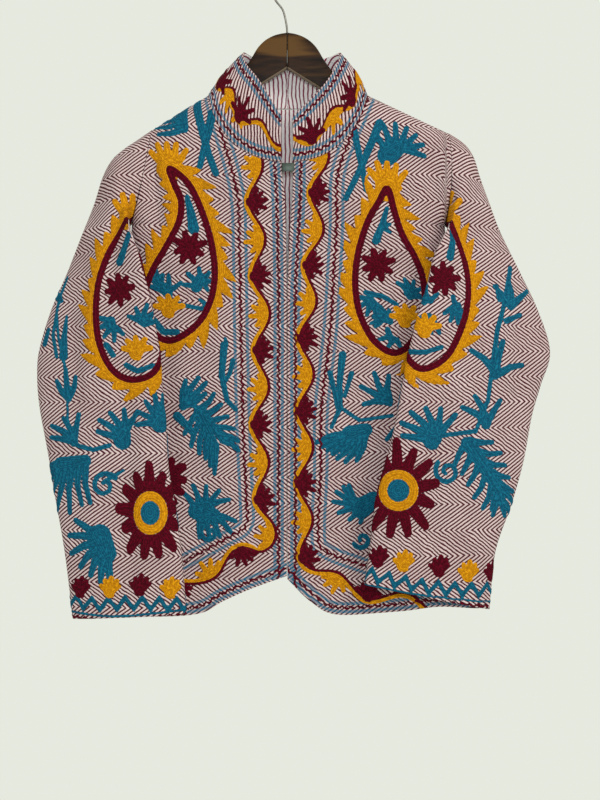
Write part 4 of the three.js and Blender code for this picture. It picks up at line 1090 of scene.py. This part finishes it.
# Burgundy half-flowers stand on these four places, with whole scallops between them.
knots = [work.seen(px, py)[0] for px, py in ((312, 132), (348, 88), (231, 66), (248, 100))]
turns = round((knots[2] - knots[1]) / SCALLOP)
phases = [0, 1, 1 + turns, 2 + turns]
past_ends = np.minimum(way - knots[0], 0) + np.maximum(way - knots[3], 0)
phase = np.interp(way, knots, phases) + past_ends / SCALLOP
middle = high[None] * 0.5 - 1
wave = middle - SWING * np.cos(2 * math.pi * phase)
work.sew("mustard", np.abs(up - wave + 4.0) - 4.0)
for number in np.arange(0, phases[-1] + 1, 0.5):
    s = np.interp(number, phases, knots)
    height = float(np.interp(s, way[0], high)) * 0.5 - 1
    if number % 1 == 0:
        work.frond("burgundy", (s, height - 7), (s, height - 7), 16, 164, 5, 24, 4.6, 9.5)
    else:
        work.frond("mustard", (s, height + 6), (s, height + 6), 188, 352, 6, 24, 5.0, 16)
work.leave(wave - up - 0.4, ["mustard"])
work.sew("burgundy", np.abs(up - wave) - 1.9)
# Its rows stand upright all round.
rows_way = outer[..., 0] + np.sign(outer[..., 0]) * (outer[..., 1] + 36)
ground = np.stack([rows_way, outer[..., 2]], -1)
outer = outer + normals * work.relief()[..., None]
collar = cloth_wall("collar_band", outer, normals, ground, work.colours, straight_rows)
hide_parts("collar")


# ---- The hook and bar at the neck
# A flat plated hook sewn behind the left front reaches over the opening, and its bar sits behind
# the right front. Both are bent from thin sheet.
def plated_metal():
    metal = Finish("dull_plated_metal", 0.42, 0.5, metallic=0.75)
    place = metal.node("TexCoord").outputs["Object"]
    worn = metal.noise(place, 900.0, 3.0)
    return metal.finished(metal.mix(worn, (0.018, 0.026, 0.022, 1), (0.075, 0.10, 0.085, 1)), worn, 0.0001)


plated = plated_metal()


def make_active(piece):
    bpy.ops.object.select_all(action="DESELECT")
    piece.select_set(True)
    bpy.context.view_layer.objects.active = piece


def copied_node(node, name, material):
    """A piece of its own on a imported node's form, with its loose triangles joined."""
    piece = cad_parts[node].copy()
    piece.data = piece.data.copy()
    piece.name = name
    for key in list(piece.keys()):
        if key.startswith("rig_"):
            del piece[key]
    bpy.context.collection.objects.link(piece)
    piece.hide_render = piece.hide_viewport = False
    make_active(piece)
    bpy.ops.object.mode_set(mode="EDIT")
    bpy.ops.mesh.select_all(action="SELECT")
    bpy.ops.mesh.remove_doubles(threshold=0.00002)
    bpy.ops.mesh.tris_convert_to_quads()
    bpy.ops.object.mode_set(mode="OBJECT")
    piece.data.materials.clear()
    piece.data.materials.append(material)
    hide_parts(node)
    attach(piece, "root")
    return piece


for node in ("fastener_hook", "fastener_bar"):
    strip = copied_node(node, node.replace("fastener", "clasp"), plated)
    rounding = strip.modifiers.new("rounded", "BEVEL")
    rounding.width, rounding.segments, rounding.limit_method = 0.0003, 2, "ANGLE"
    bpy.ops.object.modifier_apply(modifier="rounded")
    bpy.ops.object.shade_smooth_by_angle(angle=math.radians(35))


# ---- The hanger's arms
# Two pieces of walnut sawn to the shoulders' slope, mitred at the centre and glued, with eased edges.
# The head stands above the collar. The sawn underside is lighter than the oiled faces.
def walnut():
    wood = Finish("oiled_walnut", 0.45, 0.1)
    place = wood.node("TexCoord").outputs["Object"]
    stretched = wood.node("Mapping")
    wood.link(place, stretched.inputs[0])
    stretched.inputs["Scale"].default_value = (30.0, 160.0, 190.0)
    stretched.inputs["Rotation"].default_value = (0.0, 0.35, 0.0)
    grain = wood.noise(stretched.outputs[0], 1.0, 5.0)
    streak = wood.noise(stretched.outputs[0], 0.22, 2.0)
    dark = wood.mix(wood.ramp(grain, 0.3, 0.7), (0.005, 0.002, 0.001, 1), (0.024, 0.010, 0.004, 1))
    light = wood.mix(wood.ramp(streak, 0.56, 0.7), dark, (0.085, 0.040, 0.010, 1))
    sides = wood.node("SeparateXYZ")
    wood.link(place, sides.inputs[0])
    out = wood.math("ABSOLUTE", sides.outputs[0])
    above = wood.plus(sides.outputs[2], wood.times(out, 0.62))
    under = wood.ramp(above, -0.1208, -0.1196, 0.85, 0.0)
    mitre = wood.ramp(out, 0.0004, 0.0011, 1.0, 0.0)
    colour = wood.mix(under, light, (0.25, 0.19, 0.13, 1))
    return wood.finished(wood.mix(mitre, colour, (0.004, 0.002, 0.001, 1)), grain, 0.00015)


oiled_walnut = walnut()
AT_THE_MITRE = 0.0004
for side in ("left", "right"):
    arm = copied_node("hanger_arm_" + side, "walnut_arm_" + side, oiled_walnut)
    crease = arm.data.attributes.new("crease_edge", "FLOAT", "EDGE")
    for edge in arm.data.edges:
        if all(abs(arm.data.vertices[number].co.x) < AT_THE_MITRE for number in edge.vertices):
            crease.data[edge.index].value = 1.0
    eased = arm.modifiers.new("eased", "SUBSURF")
    eased.levels = eased.render_levels = 2
    bpy.ops.object.modifier_apply(modifier="eased")
    bpy.ops.object.shade_smooth_by_angle(angle=math.radians(50))


# ---- The wire hook
# One length of bright steel wire, its stem pushed into the head, bent to the left and round over
# the top. It ends in an open tip.
def bright_wire():
    steel = Finish("bright_steel_wire", 0.34, 0.5, metallic=1.0)
    place = steel.node("TexCoord").outputs["Object"]
    drawn = steel.noise(place, 700.0, 4.0)
    return steel.finished(steel.mix(drawn, (0.10, 0.095, 0.085, 1), (0.26, 0.25, 0.23, 1)), drawn, 0.00004)


STEM = [(0, -97), (0, -86), (0, -75), (-1.5, -61), (-6, -44), (-15.5, -31)]
ROUND_MIDDLE, ROUND_RADIUS = np.array([0, -18]), 19.4
round_turn = np.radians((178, 150, 120, 90, 60, 30, 0, -25))
top_round = ROUND_MIDDLE + ROUND_RADIUS * np.stack([np.cos(round_turn), np.sin(round_turn)], -1)
route = np.concatenate([STEM, top_round])
route = through(route, np.linspace(0, len(route) - 1, 110))
bend = bpy.data.curves.new("wire_hook", "CURVE")
bend.dimensions = "3D"
WIRE_RADIUS = 0.0014
bend.bevel_depth, bend.bevel_resolution, bend.use_fill_caps = WIRE_RADIUS, 5, True
spline = bend.splines.new("POLY")
spline.points.add(len(route) - 1)
for point, (x, z) in zip(spline.points, route):
    point.co = (x / 1000, 0, z / 1000, 1)
wire = bpy.data.objects.new("wire_hook", bend)
bpy.context.collection.objects.link(wire)
make_active(wire)
bpy.ops.object.convert(target="MESH")
wire = bpy.context.object
wire.data.materials.clear()
wire.data.materials.append(bright_wire())
bpy.ops.object.shade_smooth_by_angle(angle=math.radians(50))
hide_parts("hanger_hook")
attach(wire, "root")
